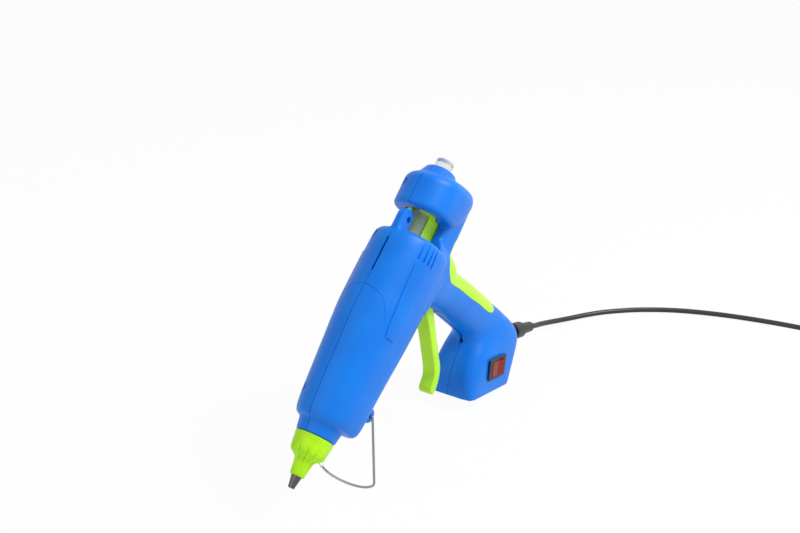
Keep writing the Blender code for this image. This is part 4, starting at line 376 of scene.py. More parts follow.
def cut(piece, other, operation="DIFFERENCE"):
    """The piece with the other one cut away from it, added to it or kept within it. The other is used up."""
    step = piece.modifiers.new("cut", "BOOLEAN")
    step.operation = operation
    step.solver = "MANIFOLD"
    step.object = other
    settle_modifiers(piece)
    bpy.data.objects.remove(other, do_unlink=True)
    return piece


def remeshed(name, parts, voxel, rounds):
    """One skin over several overlapping solids, with its edges and corners softened."""
    points, faces = [], []
    for part in parts:
        start = len(points)
        points += [tuple(v.co) for v in part.data.vertices]
        faces += [tuple(start + i for i in p.vertices) for p in part.data.polygons]
        bpy.data.objects.remove(part, do_unlink=True)
    mesh = bpy.data.meshes.new(name)
    mesh.from_pydata(points, [], faces)
    piece = bpy.data.objects.new(name, mesh)
    bpy.context.scene.collection.objects.link(piece)
    skin = piece.modifiers.new("skin", "REMESH")
    skin.mode = "VOXEL"
    skin.voxel_size = voxel
    soft = piece.modifiers.new("soft", "SMOOTH")
    soft.factor = 0.5
    soft.iterations = rounds
    return settle_modifiers(piece)


def copy_of(piece, name):
    made = bpy.data.objects.new(name, piece.data.copy())
    bpy.context.scene.collection.objects.link(made)
    return made


def finished(piece, body, finish, slot, *nodes, edge=38.0):
    """Stands a piece on the floor with the gun, and says what it moves with, wears and stands for."""
    piece.data.transform(STAND)
    piece.data.shade_smooth()
    piece.data.set_sharp_from_angle(angle=math.radians(edge))
    piece.data.materials.clear()
    piece.data.materials.append(finish)
    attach(piece, body)
    if nodes:
        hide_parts(*nodes)
    print(piece.name, len(piece.data.polygons), "faces")
    return piece


print("helpers ready")

# %% [markdown]
# The casing is two half shells of blue ABS, injection moulded in a steel tool whose cavity was spark eroded:
# that leaves a fine even grain that breaks up the shine. The grain on the real one is a tenth of a millimetre,
# too fine to show here, so it is drawn at half a millimetre. Moulded ABS has an IOR near 1.54, but its gloss
# is halved here: the room is white all round, and a full gloss of it would wash the deep blue out.

# %% Moulded blue ABS
def new_finish(name, colour, roughness, metallic=0.0, ior=None):
    """A finish with its shader, ready for nodes that vary it."""
    made = bpy.data.materials.new(name)
    made.use_nodes = True
    tree = made.node_tree
    shader = tree.nodes["Principled BSDF"]
    shader.inputs["Base Color"].default_value = rgba(colour)
    shader.inputs["Roughness"].default_value = roughness
    shader.inputs["Metallic"].default_value = metallic
    if ior is not None:
        shader.inputs["IOR"].default_value = ior
    return made, tree, shader


def grain(tree, size_mm, detail=2.0):
    """A noise whose bumps are a given size on the object."""
    place = add_node(tree, "ShaderNodeTexCoord")
    return add_node(tree, "ShaderNodeTexNoise", inputs={
        "Vector": place.outputs["Object"], "Scale": 1000.0 / (2.0 * size_mm), "Detail": detail})


def vary_colour(tree, shader, pattern, low, high, start=0.35, end=0.65):
    """Runs the base colour from one hex value to another along a pattern."""
    ramp = add_node(tree, "ShaderNodeValToRGB", inputs={"Fac": pattern})
    ramp.color_ramp.elements[0].position = start
    ramp.color_ramp.elements[0].color = rgba(low)
    ramp.color_ramp.elements[1].position = end
    ramp.color_ramp.elements[1].color = rgba(high)
    tree.links.new(ramp.outputs["Color"], shader.inputs["Base Color"])
    return ramp


def vary_roughness(tree, shader, pattern, low, high):
    spread = add_node(tree, "ShaderNodeMapRange", inputs={0: pattern, 1: 0.3, 2: 0.7, 3: low, 4: high})
    tree.links.new(spread.outputs[0], shader.inputs["Roughness"])


def bump(tree, shader, pattern, height_mm, strength=1.0):
    lift = add_node(tree, "ShaderNodeBump", inputs={
        "Height": pattern, "Distance": height_mm / 1000.0, "Strength": strength})
    tree.links.new(lift.outputs["Normal"], shader.inputs["Normal"])


blue_abs, tree, shader = new_finish("blue_abs_spark_grained", "#0076E1", 0.42, ior=1.54)
shader.inputs["Specular IOR Level"].default_value = 0.25
spark = grain(tree, 0.5)
patches = grain(tree, 14.0, 1.0)
vary_colour(tree, shader, patches.outputs["Fac"], "#0072DD", "#007AE5")
vary_roughness(tree, shader, spark.outputs["Fac"], 0.36, 0.48)
bump(tree, shader, spark.outputs["Fac"], 0.05, 0.5)
print("made", blue_abs.name)

# %% [markdown]
# The trigger, the strap on the handle's back and the feed slide are moulded in lime ABS, with a smoother
# surface than the shells. The boot on the nozzle is lime silicone rubber, softer and a little milky.

# %% Lime ABS and lime silicone
lime_abs, tree, shader = new_finish("lime_abs_moulded", "#B4F000", 0.38, ior=1.54)
fine = grain(tree, 0.6)
vary_colour(tree, shader, grain(tree, 9.0, 1.0).outputs["Fac"], "#AEEC00", "#BAF407")
vary_roughness(tree, shader, fine.outputs["Fac"], 0.33, 0.43)
bump(tree, shader, fine.outputs["Fac"], 0.03, 0.4)

lime_silicone, tree, shader = new_finish("lime_silicone_moulded", "#B2F200", 0.46, ior=1.41)
fine = grain(tree, 0.8)
vary_colour(tree, shader, grain(tree, 5.0, 1.0).outputs["Fac"], "#A8EA00", "#BDF80A")
vary_roughness(tree, shader, fine.outputs["Fac"], 0.4, 0.52)
bump(tree, shader, fine.outputs["Fac"], 0.05, 0.5)
shader.inputs["Subsurface Weight"].default_value = 0.15
shader.inputs["Subsurface Radius"].default_value = (0.002, 0.003, 0.0005)
shader.inputs["Subsurface Scale"].default_value = 1.0
print("made", lime_abs.name, "and", lime_silicone.name)

# %% [markdown]
# The casing's form: the barrel swells from the collar to a high back, a bridge under the open window joins it
# to a ring head that guides the stick, and the handle sweeps down to a flared base. Each of these is a stack
# of rings, round above and squarer below, and smooth curves between the rings give the flow of the moulding.

# %% Rings and curves between them
def between_rows(rows, extra):
    """More rows between the given ones, on smooth curves that never swing past them. The first column is how
    far along each row lies."""
    table = np.array(rows, float)
    places, values = table[:, 0], table[:, 1:]
    gaps = np.diff(places)
    rise = np.diff(values, axis=0) / gaps[:, None]
    slope = np.zeros_like(values)
    slope[0], slope[-1] = rise[0], rise[-1]
    for i in range(1, len(places) - 1):
        before, after = rise[i - 1], rise[i]
        wide, narrow = 2 * gaps[i] + gaps[i - 1], gaps[i] + 2 * gaps[i - 1]
        same = before * after > 0
        blend = np.divide(wide + narrow, np.divide(wide, before, out=np.ones_like(before), where=same)
                          + np.divide(narrow, after, out=np.ones_like(after), where=same))
        slope[i] = np.where(same, blend, 0.0)
    made = []
    for i in range(len(gaps)):
        steps = max(1, round(extra * gaps[i] / (places[-1] - places[0])))
        for k in range(steps):
            s, h = k / steps, gaps[i]
            row = ((1 + 2 * s) * (1 - s) ** 2 * values[i] + s * (1 - s) ** 2 * h * slope[i]
                   + s * s * (3 - 2 * s) * values[i + 1] + s * s * (s - 1) * h * slope[i + 1])
            made.append((places[i] + s * h, *row))
    made.append(tuple(table[-1]))
    return made


def power(value, exponent):
    """The value's size raised to the exponent, with the value's sign."""
    return math.copysign(abs(value) ** exponent, value)


def upright_ring(behind, half, top, bottom, squareness, lean=0.0, upper=2.0, count=96):
    """A ring across the stick: round above the axis, squarer below it."""
    ring = []
    for i in range(count):
        side, height = math.sin(2 * math.pi * i / count), math.cos(2 * math.pi * i / count)
        square = upper if height > 0 else squareness
        up = (top if height > 0 else bottom) * power(height, 2 / square)
        ring.append(gun(behind - lean * up, half * power(side, 2 / square), up))
    return ring


print("between_rows gives", len(between_rows([(0, 1), (1, 3), (2, 2)], 10)), "rows from 3")

# %% The barrel, bridge and head
BARREL_FRONT, BARREL_LENGTH, BARREL_RADIUS, KEEL_DEPTH = 39.2, 120.8, 22.4, 30.5
# share of the length, top and half width in radii, depth in keel depths, squareness below
BARREL_ROWS = (
    (0.0, 0.66, 0.66, 0.57, 4.0), (0.010, 0.715, 0.735, 0.63, 4.0), (0.031, 0.755, 0.775, 0.665, 4.0),
    (0.075, 0.79, 0.81, 0.672, 4.0), (0.155, 0.84, 0.835, 0.684, 4.0), (0.26, 0.885, 0.872, 0.70, 4.0),
    (0.38, 0.935, 0.912, 0.735, 4.0), (0.50, 0.99, 0.948, 0.79, 3.8), (0.60, 1.0, 0.965, 0.845, 3.6),
    (0.70, 0.975, 0.96, 0.90, 3.4), (0.81, 0.955, 0.95, 0.96, 3.2), (0.93, 0.935, 0.935, 1.0, 3.0),
    (0.982, 0.895, 0.90, 0.98, 3.0), (1.0, 0.815, 0.82, 0.92, 3.0),
)
BRIDGE_TOP, BRIDGE_BOTTOM, BRIDGE_HALF, BRIDGE_START, BRIDGE_LENGTH = 12.5, 34.5, 12.9, 125.0, 78.0
# share of the length, half width, top and bottom
BRIDGE_ROWS = (
    (0.0, 1.30, 0.80, 0.90), (0.22, 1.40, 0.85, 0.94), (0.36, 1.30, 0.95, 0.98), (0.46, 1.14, 1.0, 1.0),
    (0.58, 1.02, 1.0, 1.0), (0.72, 1.0, 1.0, 1.0), (0.90, 1.0, 1.0, 0.99), (1.0, 0.86, 1.05, 0.92),
)
HEAD_FRONT, HEAD_LENGTH, HEAD_RADIUS, HEAD_DEPTH = 177.2, 25.8, 18.3, 36.5
# share of the length, radius, depth and lean
HEAD_ROWS = (
    (0.0, 0.92, 0.56, 0.10), (0.07, 1.0, 0.66, 0.10), (0.30, 1.0, 0.88, 0.13), (0.74, 1.0, 1.0, 0.18),
    (0.92, 0.90, 0.92, 0.23), (1.0, 0.72, 0.72, 0.24),
)


def barrel(inset=0.0):
    rings = []
    for share, top, half, depth, square in between_rows(BARREL_ROWS, 70):
        behind = BARREL_FRONT + inset + share * (BARREL_LENGTH - 2 * inset)
        rings.append(upright_ring(behind, half * BARREL_RADIUS - inset, top * BARREL_RADIUS - inset,
                                  depth * KEEL_DEPTH - inset, square, 0.1 * share))
    return loft("barrel", rings)


def bridge(inset=0.0, top_inset=0.0):
    rings = []
    for share, half, top, bottom in between_rows(BRIDGE_ROWS, 40):
        high, low = -BRIDGE_TOP * top - top_inset, -BRIDGE_BOTTOM * bottom + inset
        ring = upright_ring(BRIDGE_START + inset + share * (BRIDGE_LENGTH - 2 * inset), half * BRIDGE_HALF - inset,
                            (high - low) / 2, (high - low) / 2, 3.2, upper=6.4)
        rings.append([point + Vector((0, 0, (high + low) / 2)) for point in ring])
    return loft("bridge", rings)


def head(inset=0.0):
    rings = []
    for share, radius, depth, lean in between_rows(HEAD_ROWS, 24):
        rings.append(upright_ring(HEAD_FRONT + inset + share * (HEAD_LENGTH - 2 * inset),
                                  radius * HEAD_RADIUS - inset, radius * HEAD_RADIUS - inset,
                                  depth * HEAD_DEPTH - inset, 2.4, lean))
    return loft("head", rings)


print("barrel, bridge and head drawn")

# %% The handle and base
GRIP_FRONT, GRIP_DEPTH, GRIP_HALF, GRIP_DROP = 143.5, 30.5, 13.0, 110.0
BASE_HALF, BASE_LENGTH, BASE_SLOPE = 18.2, 53.4, math.radians(53.0)
TOE = gun(105.3, 0, -123.4)
# front and rear of each ring, in grip depths and drops, half width in grip half widths, squareness
GRIP_ROWS = (
    (-0.51, 0.93, 0.11, 0.11, 1.36, 2.8), (-0.41, 0.91, 0.273, 0.36, 1.22, 2.7),
    (-0.213, 0.80, 0.436, 0.473, 1.07, 2.5), (-0.098, 0.897, 0.60, 0.682, 1.0, 2.4),
    (-0.033, 0.98, 0.782, 0.891, 0.98, 2.4), (0.0, 1.04, 0.927, 1.073, 0.97, 2.4),
    (-0.098, 1.066, 0.995, 1.20, 1.06, 2.8),
)
# front and rear of each ring along the base and up from it, half width, squareness
BASE_ROWS = (
    (0.098, 0.53, 1.114, 0.807, 0.90, 3.6), (0.0, 0.30, 1.22, 0.62, 0.985, 5.0),
    (-0.02, 0.10, 1.13, 0.36, 1.0, 7.0), (0.0, 0.0, 1.0, 0.0, 1.0, 9.0),
)
ALONG_BASE = Vector((-math.cos(BASE_SLOPE), 0, -math.sin(BASE_SLOPE)))
UP_BASE = Vector((-math.sin(BASE_SLOPE), 0, math.cos(BASE_SLOPE)))


def base_point(along, up, left=0.0):
    return TOE + along * ALONG_BASE + up * UP_BASE + Vector((0, left, 0))


def grip_point(depth, drop):
    return gun(GRIP_FRONT + depth * GRIP_DEPTH, 0.0, -drop * GRIP_DROP)


def grip_rings(inset=0.0, base_inset=0.0, rows=64):
    """Rings square to the seam, from inside the barrel down to the sole."""
    stations = []
    for front_x, rear_x, front_z, rear_z, half, square in GRIP_ROWS:
        front, rear = grip_point(front_x, front_z), grip_point(rear_x, rear_z)
        ahead = (front - rear).normalized() * inset
        stations.append((front - ahead, rear + ahead, half * GRIP_HALF - inset, square))
    for i, (front_x, front_z, rear_x, rear_z, half, square) in enumerate(BASE_ROWS):
        if base_inset > 0 and i == len(BASE_ROWS) - 2:
            continue
        front = base_point(front_x * BASE_LENGTH, front_z * BASE_LENGTH)
        rear = base_point(rear_x * BASE_LENGTH, rear_z * BASE_LENGTH)
        ahead = (front - rear).normalized() * base_inset
        lift = UP_BASE * base_inset if i == len(BASE_ROWS) - 1 else Vector((0, 0, 0))
        stations.append((front - ahead + lift, rear + ahead + lift, half * BASE_HALF - base_inset, square))
    table, travelled, last = [], 0.0, None
    for front, rear, half, square in stations:
        middle = (front + rear) / 2
        travelled += 0.0 if last is None else (middle - last).length
        last = middle
        table.append((travelled, front.x, front.z, rear.x, rear.z, half, square))
    rings = []
    for place, fx, fz, rx, rz, half, square in between_rows(table, rows):
        front, rear = Vector((fx, 0, fz)), Vector((rx, 0, rz))
        ring = []
        for i in range(96):
            a = 2 * math.pi * i / 96
            ring.append((front + rear) / 2 + (front - rear) / 2 * power(math.cos(a), 2 / square)
                        + Vector((0, half * power(math.sin(a), 2 / square), 0)))
        rings.append(ring)
    return rings


def grip(inset=0.0, base_inset=0.0):
    return loft("grip", grip_rings(inset, base_inset))


print("handle of", len(grip_rings()), "rings")

# %% [markdown]
# The outer skin. The rows are joined under one fine skin, as a pattern maker blends blocks with filler, and a
# few rounds of smoothing give every inner corner the small radius that a moulding needs to fill well.

# %% The outer skin
def arc(centre, radius, start, end, count):
    """(behind, up) points of an arc, its angles in degrees from straight back, counted upwards."""
    return [(centre[0] + radius * math.cos(a), centre[1] + radius * math.sin(a))
            for a in (math.radians(start + (end - start) * i / count) for i in range(count + 1))]


EYE, EYE_RADIUS = (166.2, 13.3), 6.5
LUG_X, LUG_Z = 56.2, 20.0
SKIN_VOXEL, SKIN_ROUNDS = 0.8, 5


def collar():
    return turned("collar", [(31.0, 0.02), (31.0, 11.6), (31.25, 11.9), (41.6, 13.7), (41.6, 0.02)])


def outer_skin():
    eye = prism("eye", [(157.6, EYE[1] - EYE_RADIUS)] + arc(EYE, EYE_RADIUS, -90, 90, 24)
                + [(157.6, EYE[1] + EYE_RADIUS)], 2.8)
    rear_collar = turned("rear_collar", [(200.5, 0.02), (200.5, 12.8), (206.4, 9.8), (207.0, 9.2), (207.0, 0.02)])
    lugs = [across("lug", LUG_X, -LUG_Z, 4.6, side * 9.0, side * 15.0) for side in (1, -1)]
    blocks = [barrel(), collar(), bridge(), head(), rear_collar, grip(), eye] + lugs
    return remeshed("casing", blocks, SKIN_VOXEL, SKIN_ROUNDS)


skin = outer_skin()
print("skin of", len(skin.data.polygons), "faces")

# %% [markdown]
# Two raised fields catch the light on the real casing: a tongue-shaped arch on the top of the barrel, bounded
# by a thin groove, and a slim panel along each flank. The panel is a slightly larger barrel kept within a
# wedge, and the groove is a thin rod bent over the skin.

# %% The flank panels and the arch
PANEL_PROUD = 0.45


def flank_panel(side):
    """A field of the barrel's flank, nearly half a millimetre proud, between two angles round from the top."""
    proud = barrel(-PANEL_PROUD)
    wedge = []
    for behind, low, high in ((96.0, 86.0, 66.0), (104.0, 88.0, 62.0), (124.0, 91.0, 59.5), (141.5, 93.0, 59.0),
                              (143.8, 93.0, 80.0)):
        ring = []
        for radius, angle in ((16.0, low), (27.0, low), (27.0, (low + high) / 2), (27.0, high), (16.0, high)):
            a = math.radians(angle)
            ring.append(gun(behind, side * radius * math.sin(a), radius * math.cos(a)))
        wedge.append(ring)
    return cut(proud, loft("wedge", wedge), "INTERSECT")


for side in (1, -1):
    cut(skin, flank_panel(side), "UNION")


def on_skin(piece, behind, angle):
    """The point of a piece's surface at a distance behind the tip and an angle from the top to the left."""
    out = Vector((0, math.sin(angle), math.cos(angle)))
    hit, place, normal, face = piece.ray_cast(gun(behind, 0, 0) + 60 * out, -out)
    return place, normal


def rod_along(name, path, radius, count=10):
    """A bent rod of round section along a path."""
    return loft(name, tube_rings(path, radius, count))


ARCH = ((98.0, 57.5), (101.3, 55.3), (104.8, 51.6), (108.1, 47.6), (111.2, 42.2), (113.7, 37.2), (116.0, 29.0),
        (117.6, 20.0), (118.6, 10.0), (118.9, 0.0))
GROOVE_RADIUS, GROOVE_LIFT, GROOVE_FADES_AT, GROOVE_FADE = 0.42, 0.12, 97.5, 6.0
arch_half = smooth_path([Vector((b, a, 0)) for b, a in ARCH], 4)
arch_knots = [(p.x, p.y) for p in arch_half] + [(p.x, -p.y) for p in reversed(arch_half[:-1])]
groove = []
for behind, angle in arch_knots:
    place, normal = on_skin(skin, behind, math.radians(angle))
    depth = min(1.0, max(0.0, (behind - GROOVE_FADES_AT) / GROOVE_FADE))
    groove.append(place + normal * (GROOVE_LIFT + 0.55 * (1 - depth)))
cut(skin, rod_along("arch_groove", groove, GROOVE_RADIUS))
print("flank panels and arch groove done,", len(skin.data.polygons), "faces")

# %% [markdown]
# The inside is hollow, with a wall of about 2.4 mm, webs that carry the melt chamber and the feed sleeve, and
# posts for the screws. Little of it shows, but the window, the trigger's slot and the bores do look into it.

# %% Screw places, the switch's place and the sleeve's place
SCREW_SEAT = 5.0
WALL, GRIP_WALL, PAST_THE_CASING = 2.4, 4.6, 30.0
PIN_HOLE, DRIVE_HOLE = 1.8, 1.7
SCREWS = [(53.5, 12.2), (152.5, 14.5), (190.0, 13.0), (103.0, -16.0), (152.0, -72.0)]
for along, up in ((9.0, 13.5), (40.0, 47.0)):
    spot = base_point(along, up)
    SCREWS.append((-spot.x, spot.z))
SWITCH = Matrix.Translation(base_point(29.3, 18.0, BASE_HALF)) @ Matrix((
    ALONG_BASE, UP_BASE, Vector((0, 1, 0)))).transposed().to_4x4()
RELIEF_FACE = base_point(1.0 * BASE_LENGTH, 0.0).lerp(base_point(1.22 * BASE_LENGTH, 0.62 * BASE_LENGTH), 0.85)
RELIEF_AWAY = Vector((-math.cos(math.radians(57.6)), 0, -math.sin(math.radians(57.6))))
PIVOT = (139.0, -40.0)
ARM = 28.0
ARM_REST = (PIVOT[0] + ARM * math.sin(math.radians(12)), PIVOT[1] + ARM * math.cos(math.radians(12)))
ARM_PULLED = (PIVOT[0] - ARM * math.sin(math.radians(12)), ARM_REST[1])
print(len(SCREWS), "screws; the sleeve sits at", [round(v, 1) for v in RELIEF_FACE])

# %% The hollow
def hollow_space():
    """The room inside, less the webs that carry the chamber and the sleeve, the shelf and the posts."""
    space = remeshed("hollow", [barrel(WALL), bridge(GRIP_WALL, 5.7), grip(GRIP_WALL, WALL)], 1.3, 2)
    wide = PAST_THE_CASING
    for front, rear, hole_front, hole_rear, radius in ((87.1, 89.1, 80, 95, 11.1), (100.0, 102.0, 95, 110, 9.1)):
        hole = bar("hole", gun(hole_front, 0, 0), gun(hole_rear, 0, 0), radius)
        cut(space, cut(block("web", front, rear, wide, -45, 45), hole))
    shelf = cut(block("shelf", 125.0, 160.0, wide, -18.2, -16.0), block("gap", 121.0, 157.6, 3.4, -22, -12))
    cut(space, shelf)
    for behind, up in SCREWS:
        cut(space, across("post", behind, up, 3.6, -wide, wide))
    for side in (1, -1):
        cut(space, across("pivot_post", PIVOT[0], PIVOT[1], 4.8, side * 4.8, side * wide))
    cut(space, bar("sleeve_post", RELIEF_FACE - 7.0 * RELIEF_AWAY, RELIEF_FACE + 4.0 * RELIEF_AWAY, 7.2))
    return space


cut(skin, hollow_space())
print("hollow casing of", len(skin.data.polygons), "faces")

# %% [markdown]
# The cuts through both shells: the bores that the stick and chamber lie in, the slide's way, the window's
# floor, the trigger's slot, the finger slit, the vents, the slot along the top seam, the eye's hole.

# %% Ways, slots and vents
def bore(front, rear, radius):
    return bar("bore", gun(front, 0, 0), gun(rear, 0, 0), radius, count=64)


ways = [bore(25.0, 43.9, 9.4), bore(35.7, 40.5, 11.1), bore(160.0, 212.0, 6.3), bore(160.0, 183.5, 10.3),
        bore(155.2, 162.4, 6.9), block("slide_way", 157.1, 184.0, 6.9, -16.0, 0.0),
        block("top_slot", 128.0, 150.5, 0.7, 17.6, 27.0),
        across("eye_hole", EYE[0], EYE[1], 2.1, -25, 25, 48)]
OPENING = ((-0.25, -0.25), (0.75, -0.25), (0.75, 1.05), (0.04, 1.0), (-0.12, 0.55), (-0.25, 0.35))
ways.append(prism("trigger_way", [(PIVOT[0] - x * ARM, PIVOT[1] - z * ARM) for x, z in OPENING], 5.3))
ways.append(prism("arm_way", [(PIVOT[0] - 4.8, PIVOT[1]), (ARM_PULLED[0] - 3.5, ARM_PULLED[1]),
                              (ARM_REST[0] + 3.5, ARM_REST[1]), (PIVOT[0] + 4.8, PIVOT[1])], 2.9))
front_line = [grip_point(row[0], row[2]) for row in GRIP_ROWS[3:]]
slit = [(-p.x + 3.0, p.z) for p in front_line] + [(-p.x - 4.0, p.z) for p in reversed(front_line)]
ways.append(prism("slit", slit, 0.8))
ways.append(bar("slit_hole", front_line[-1] + gun(-3, 0, 3), front_line[-1] + gun(3, 0, -3), 1.5))
ways.append(across("pin_hole", PIVOT[0], PIVOT[1], PIN_HOLE, -10.3, 10.3))
for side in (1, -1):
    ways.append(across("wire_hole", LUG_X, -LUG_Z, 1.05, side * 10.0, side * 20.0))
    for i in range(4):
        vent = block("vent", 145.5, 166.0, 0.95, 20.15, 27.0)
        vent.data.transform(Matrix.Rotation(-side * math.radians(59.0 + 12.0 * i), 4, "X"))
        ways.append(vent)
ways.append(bar("sleeve_hole", RELIEF_FACE - 11 * RELIEF_AWAY, RELIEF_FACE + 4 * RELIEF_AWAY, 3.7))
ways.append(bar("sleeve_seat", RELIEF_FACE - 1.4 * RELIEF_AWAY, RELIEF_FACE + 8 * RELIEF_AWAY, 5.5))
for behind, up in SCREWS:
    ways.append(across("shank_hole", behind, up, 1.6, -9.0, 6.3))
    ways.append(across("recess", behind, up, 3.0, -SCREW_SEAT, -PAST_THE_CASING))
switch_corners = ((-9.6, -6.5), (9.6, -6.5), (9.6, 6.5), (-9.6, 6.5))
switch_way = loft("switch_way", [[Vector((x, y, z)) for x, y in switch_corners] for z in (-12.5, 3.0)])
switch_way.data.transform(SWITCH)
ways.append(switch_way)
for way in ways:
    cut(skin, way)
print(len(ways), "cuts,", len(skin.data.polygons), "faces")

# %% [markdown]
# The strap on the handle's back is a soft-looking lime insert, flush with the casing. It is made the way it is
# moulded: the outer skin kept within the strap's outline, down to a floor 2 mm under the skin, and the same
# space a little larger is cut from the casing to seat it.

# %% The strap and its seat
STRAP_EDGE = (
    (1.06, 0.259), (0.71, 0.259), (0.48, 0.284), (0.36, 0.352), (0.365, 0.396), (0.46, 0.527), (0.525, 0.672),
    (0.61, 0.818), (0.65, 0.93), (0.70, 0.99), (0.78, 1.025), (0.90, 1.035), (1.30, 1.035), (1.45, 0.80),
    (1.45, 0.50), (1.50, 0.36), (1.30, 0.30),
)


def grown(outline, amount):
    """An outline, drawn clockwise, with every edge moved out."""
    corners, made = [Vector(p) for p in outline], []
    for before, corner, after in zip(corners[-1:] + corners[:-1], corners, corners[1:] + corners[:1]):
        ahead, onward = (corner - before).normalized(), (after - corner).normalized()
        out, next_out = Vector((ahead.y, -ahead.x)), Vector((onward.y, -onward.x))
        moved = corner + (out + next_out) * amount / (1 + out.dot(next_out))
        made.append((moved.x, moved.y))
    return made


def strap_outline(amount=0.0):
    knots = [Vector((GRIP_FRONT + x * GRIP_DEPTH, -z * GRIP_DROP, 0)) for x, z in STRAP_EDGE]
    edge = smooth_path(knots[:12], 4) + knots[12:]
    return grown([(p.x, p.y) for p in edge], amount)


def strap_floor(depth):
    return remeshed("floor", [grip(depth, depth), bridge(depth), head(depth), barrel(depth)], 1.0, 3)


strap = cut(outer_skin(), prism("strap_edge", strap_outline(), 26.0), "INTERSECT")
cut(strap, strap_floor(2.0))
strap.name = "backstrap_lime"
cut(skin, cut(prism("strap_seat", strap_outline(0.25), 26.0), strap_floor(2.3)))
finished(strap, "casing", lime_abs, "lime_abs", "backstrap", edge=50.0)
print("strap seated")

# %% [markdown]
# The casing is parted at the seam, with the hair-thin gap that real half shells show.

# %% The two half shells
SEAM = 0.15
for side, name in ((1, "left"), (-1, "right")):
    half = copy_of(skin, "shell_%s_moulded" % name)
    low, high = sorted((side * SEAM, side * 80.0))
    cut(half, prism("keep", [(-20, -180), (240, -180), (240, 60), (-20, 60)], high, low), "INTERSECT")
    finished(half, "casing", blue_abs, "blue_abs", "shell_" + name)
bpy.data.objects.remove(skin, do_unlink=True)

# %% [markdown]
# The boot is a thin silicone sleeve that keeps fingers off the hot nozzle. Its mouth is a narrow cone, its rear
# a drum, and a dozen flutes pinch the shoulder between them. It is a turned form whose radius drops in each
# flute, so one mesh of rings holds it all.

# %% The nozzle's boot
FLUTES, FLUTE_DEPTH = 12, 1.25
# distance behind the tip, radius, share of the flutes' depth
BOOT_OUTSIDE = (
    (7.2, 3.75, 0.0), (7.35, 4.05, 0.0), (7.9, 4.3, 0.0), (10.0, 4.65, 0.0), (13.0, 5.05, 0.0), (15.2, 5.4, 0.25),
    (16.6, 5.8, 0.6), (17.6, 6.6, 1.0), (18.5, 7.9, 1.0), (19.4, 9.2, 1.0), (20.3, 10.05, 0.9), (21.3, 10.45, 0.7),
    (22.6, 10.65, 0.35), (24.2, 10.85, 0.0), (27.0, 11.2, 0.0), (29.8, 11.55, 0.0), (30.4, 11.6, 0.0),
    (30.7, 11.4, 0.0),
)
BOOT_INSIDE = ((30.7, 10.5), (21.7, 9.2), (21.6, 3.9), (16.0, 3.7), (7.3, 3.4))


def boot():
    count = FLUTES * 16
    rings = []
    for behind, radius, share in between_rows(BOOT_OUTSIDE, 60):
        ring = []
        for i in range(count):
            a = 2 * math.pi * i / count
            wave = max(0.0, math.cos(FLUTES * a)) ** 3
            r = radius - FLUTE_DEPTH * share * wave
            ring.append(gun(behind, r * math.sin(a), r * math.cos(a)))
        rings.append(ring)
    for behind, radius in BOOT_INSIDE:
        rings.append([gun(behind, radius * math.sin(a), radius * math.cos(a))
                      for a in (2 * math.pi * i / count for i in range(count))])
    return loft("nozzle_boot_fluted", rings, closed=True)


finished(boot(), "casing", lime_silicone, "lime_silicone", "nozzle_boot", edge=60.0)

# %% [markdown]
# The trigger is one lime moulding: a blade for two fingers with well-rounded edges and a hooked foot, a hub
# that turns on the pin, and an arm inside that drives the slide. A curve with a round bevel gives the blade.

# %% The trigger
TRIGGER_EDGE = (
    (0.16, 0.06), (0.285, 0.32), (0.45, 0.61), (0.74, 1.09), (1.035, 1.55), (1.18, 1.71), (1.34, 1.765),
    (1.48, 1.80), (1.545, 1.89), (1.52, 2.00), (1.395, 2.035), (1.18, 1.98), (0.945, 1.84), (0.80, 1.66),
    (0.70, 1.48), (0.06, 0.48), (-0.07, 0.21), (-0.16, 0.06),
)


def round_plate(name, outline, half, rounding):
    """A flat outline thickened to both sides of the seam, its edges rounded off."""
    curve = bpy.data.curves.new(name, "CURVE")
    curve.dimensions = "2D"
    curve.fill_mode = "BOTH"
    curve.extrude = half - rounding
    curve.bevel_depth = rounding
    curve.bevel_resolution = 3
    curve.offset = -rounding
    spline = curve.splines.new("POLY")
    spline.points.add(len(outline) - 1)
    for point, (behind, up) in zip(spline.points, outline):
        point.co = (-behind, up, 0.0, 1.0)
    spline.use_cyclic_u = True
    holder = bpy.data.objects.new(name, curve)
    bpy.context.scene.collection.objects.link(holder)
    bpy.context.view_layer.update()
    graph = bpy.context.evaluated_depsgraph_get()
    mesh = bpy.data.meshes.new_from_object(holder.evaluated_get(graph), depsgraph=graph)
    mesh.transform(Matrix.Rotation(math.radians(90), 4, "X"))
    bpy.data.objects.remove(holder, do_unlink=True)
    shape = bmesh.new()
    shape.from_mesh(mesh)
    bmesh.ops.remove_doubles(shape, verts=shape.verts, dist=0.005)
    bmesh.ops.recalc_face_normals(shape, faces=shape.faces)
    shape.to_mesh(mesh)
    shape.free()
    piece = bpy.data.objects.new(name, mesh)
    bpy.context.scene.collection.objects.link(piece)
    return piece


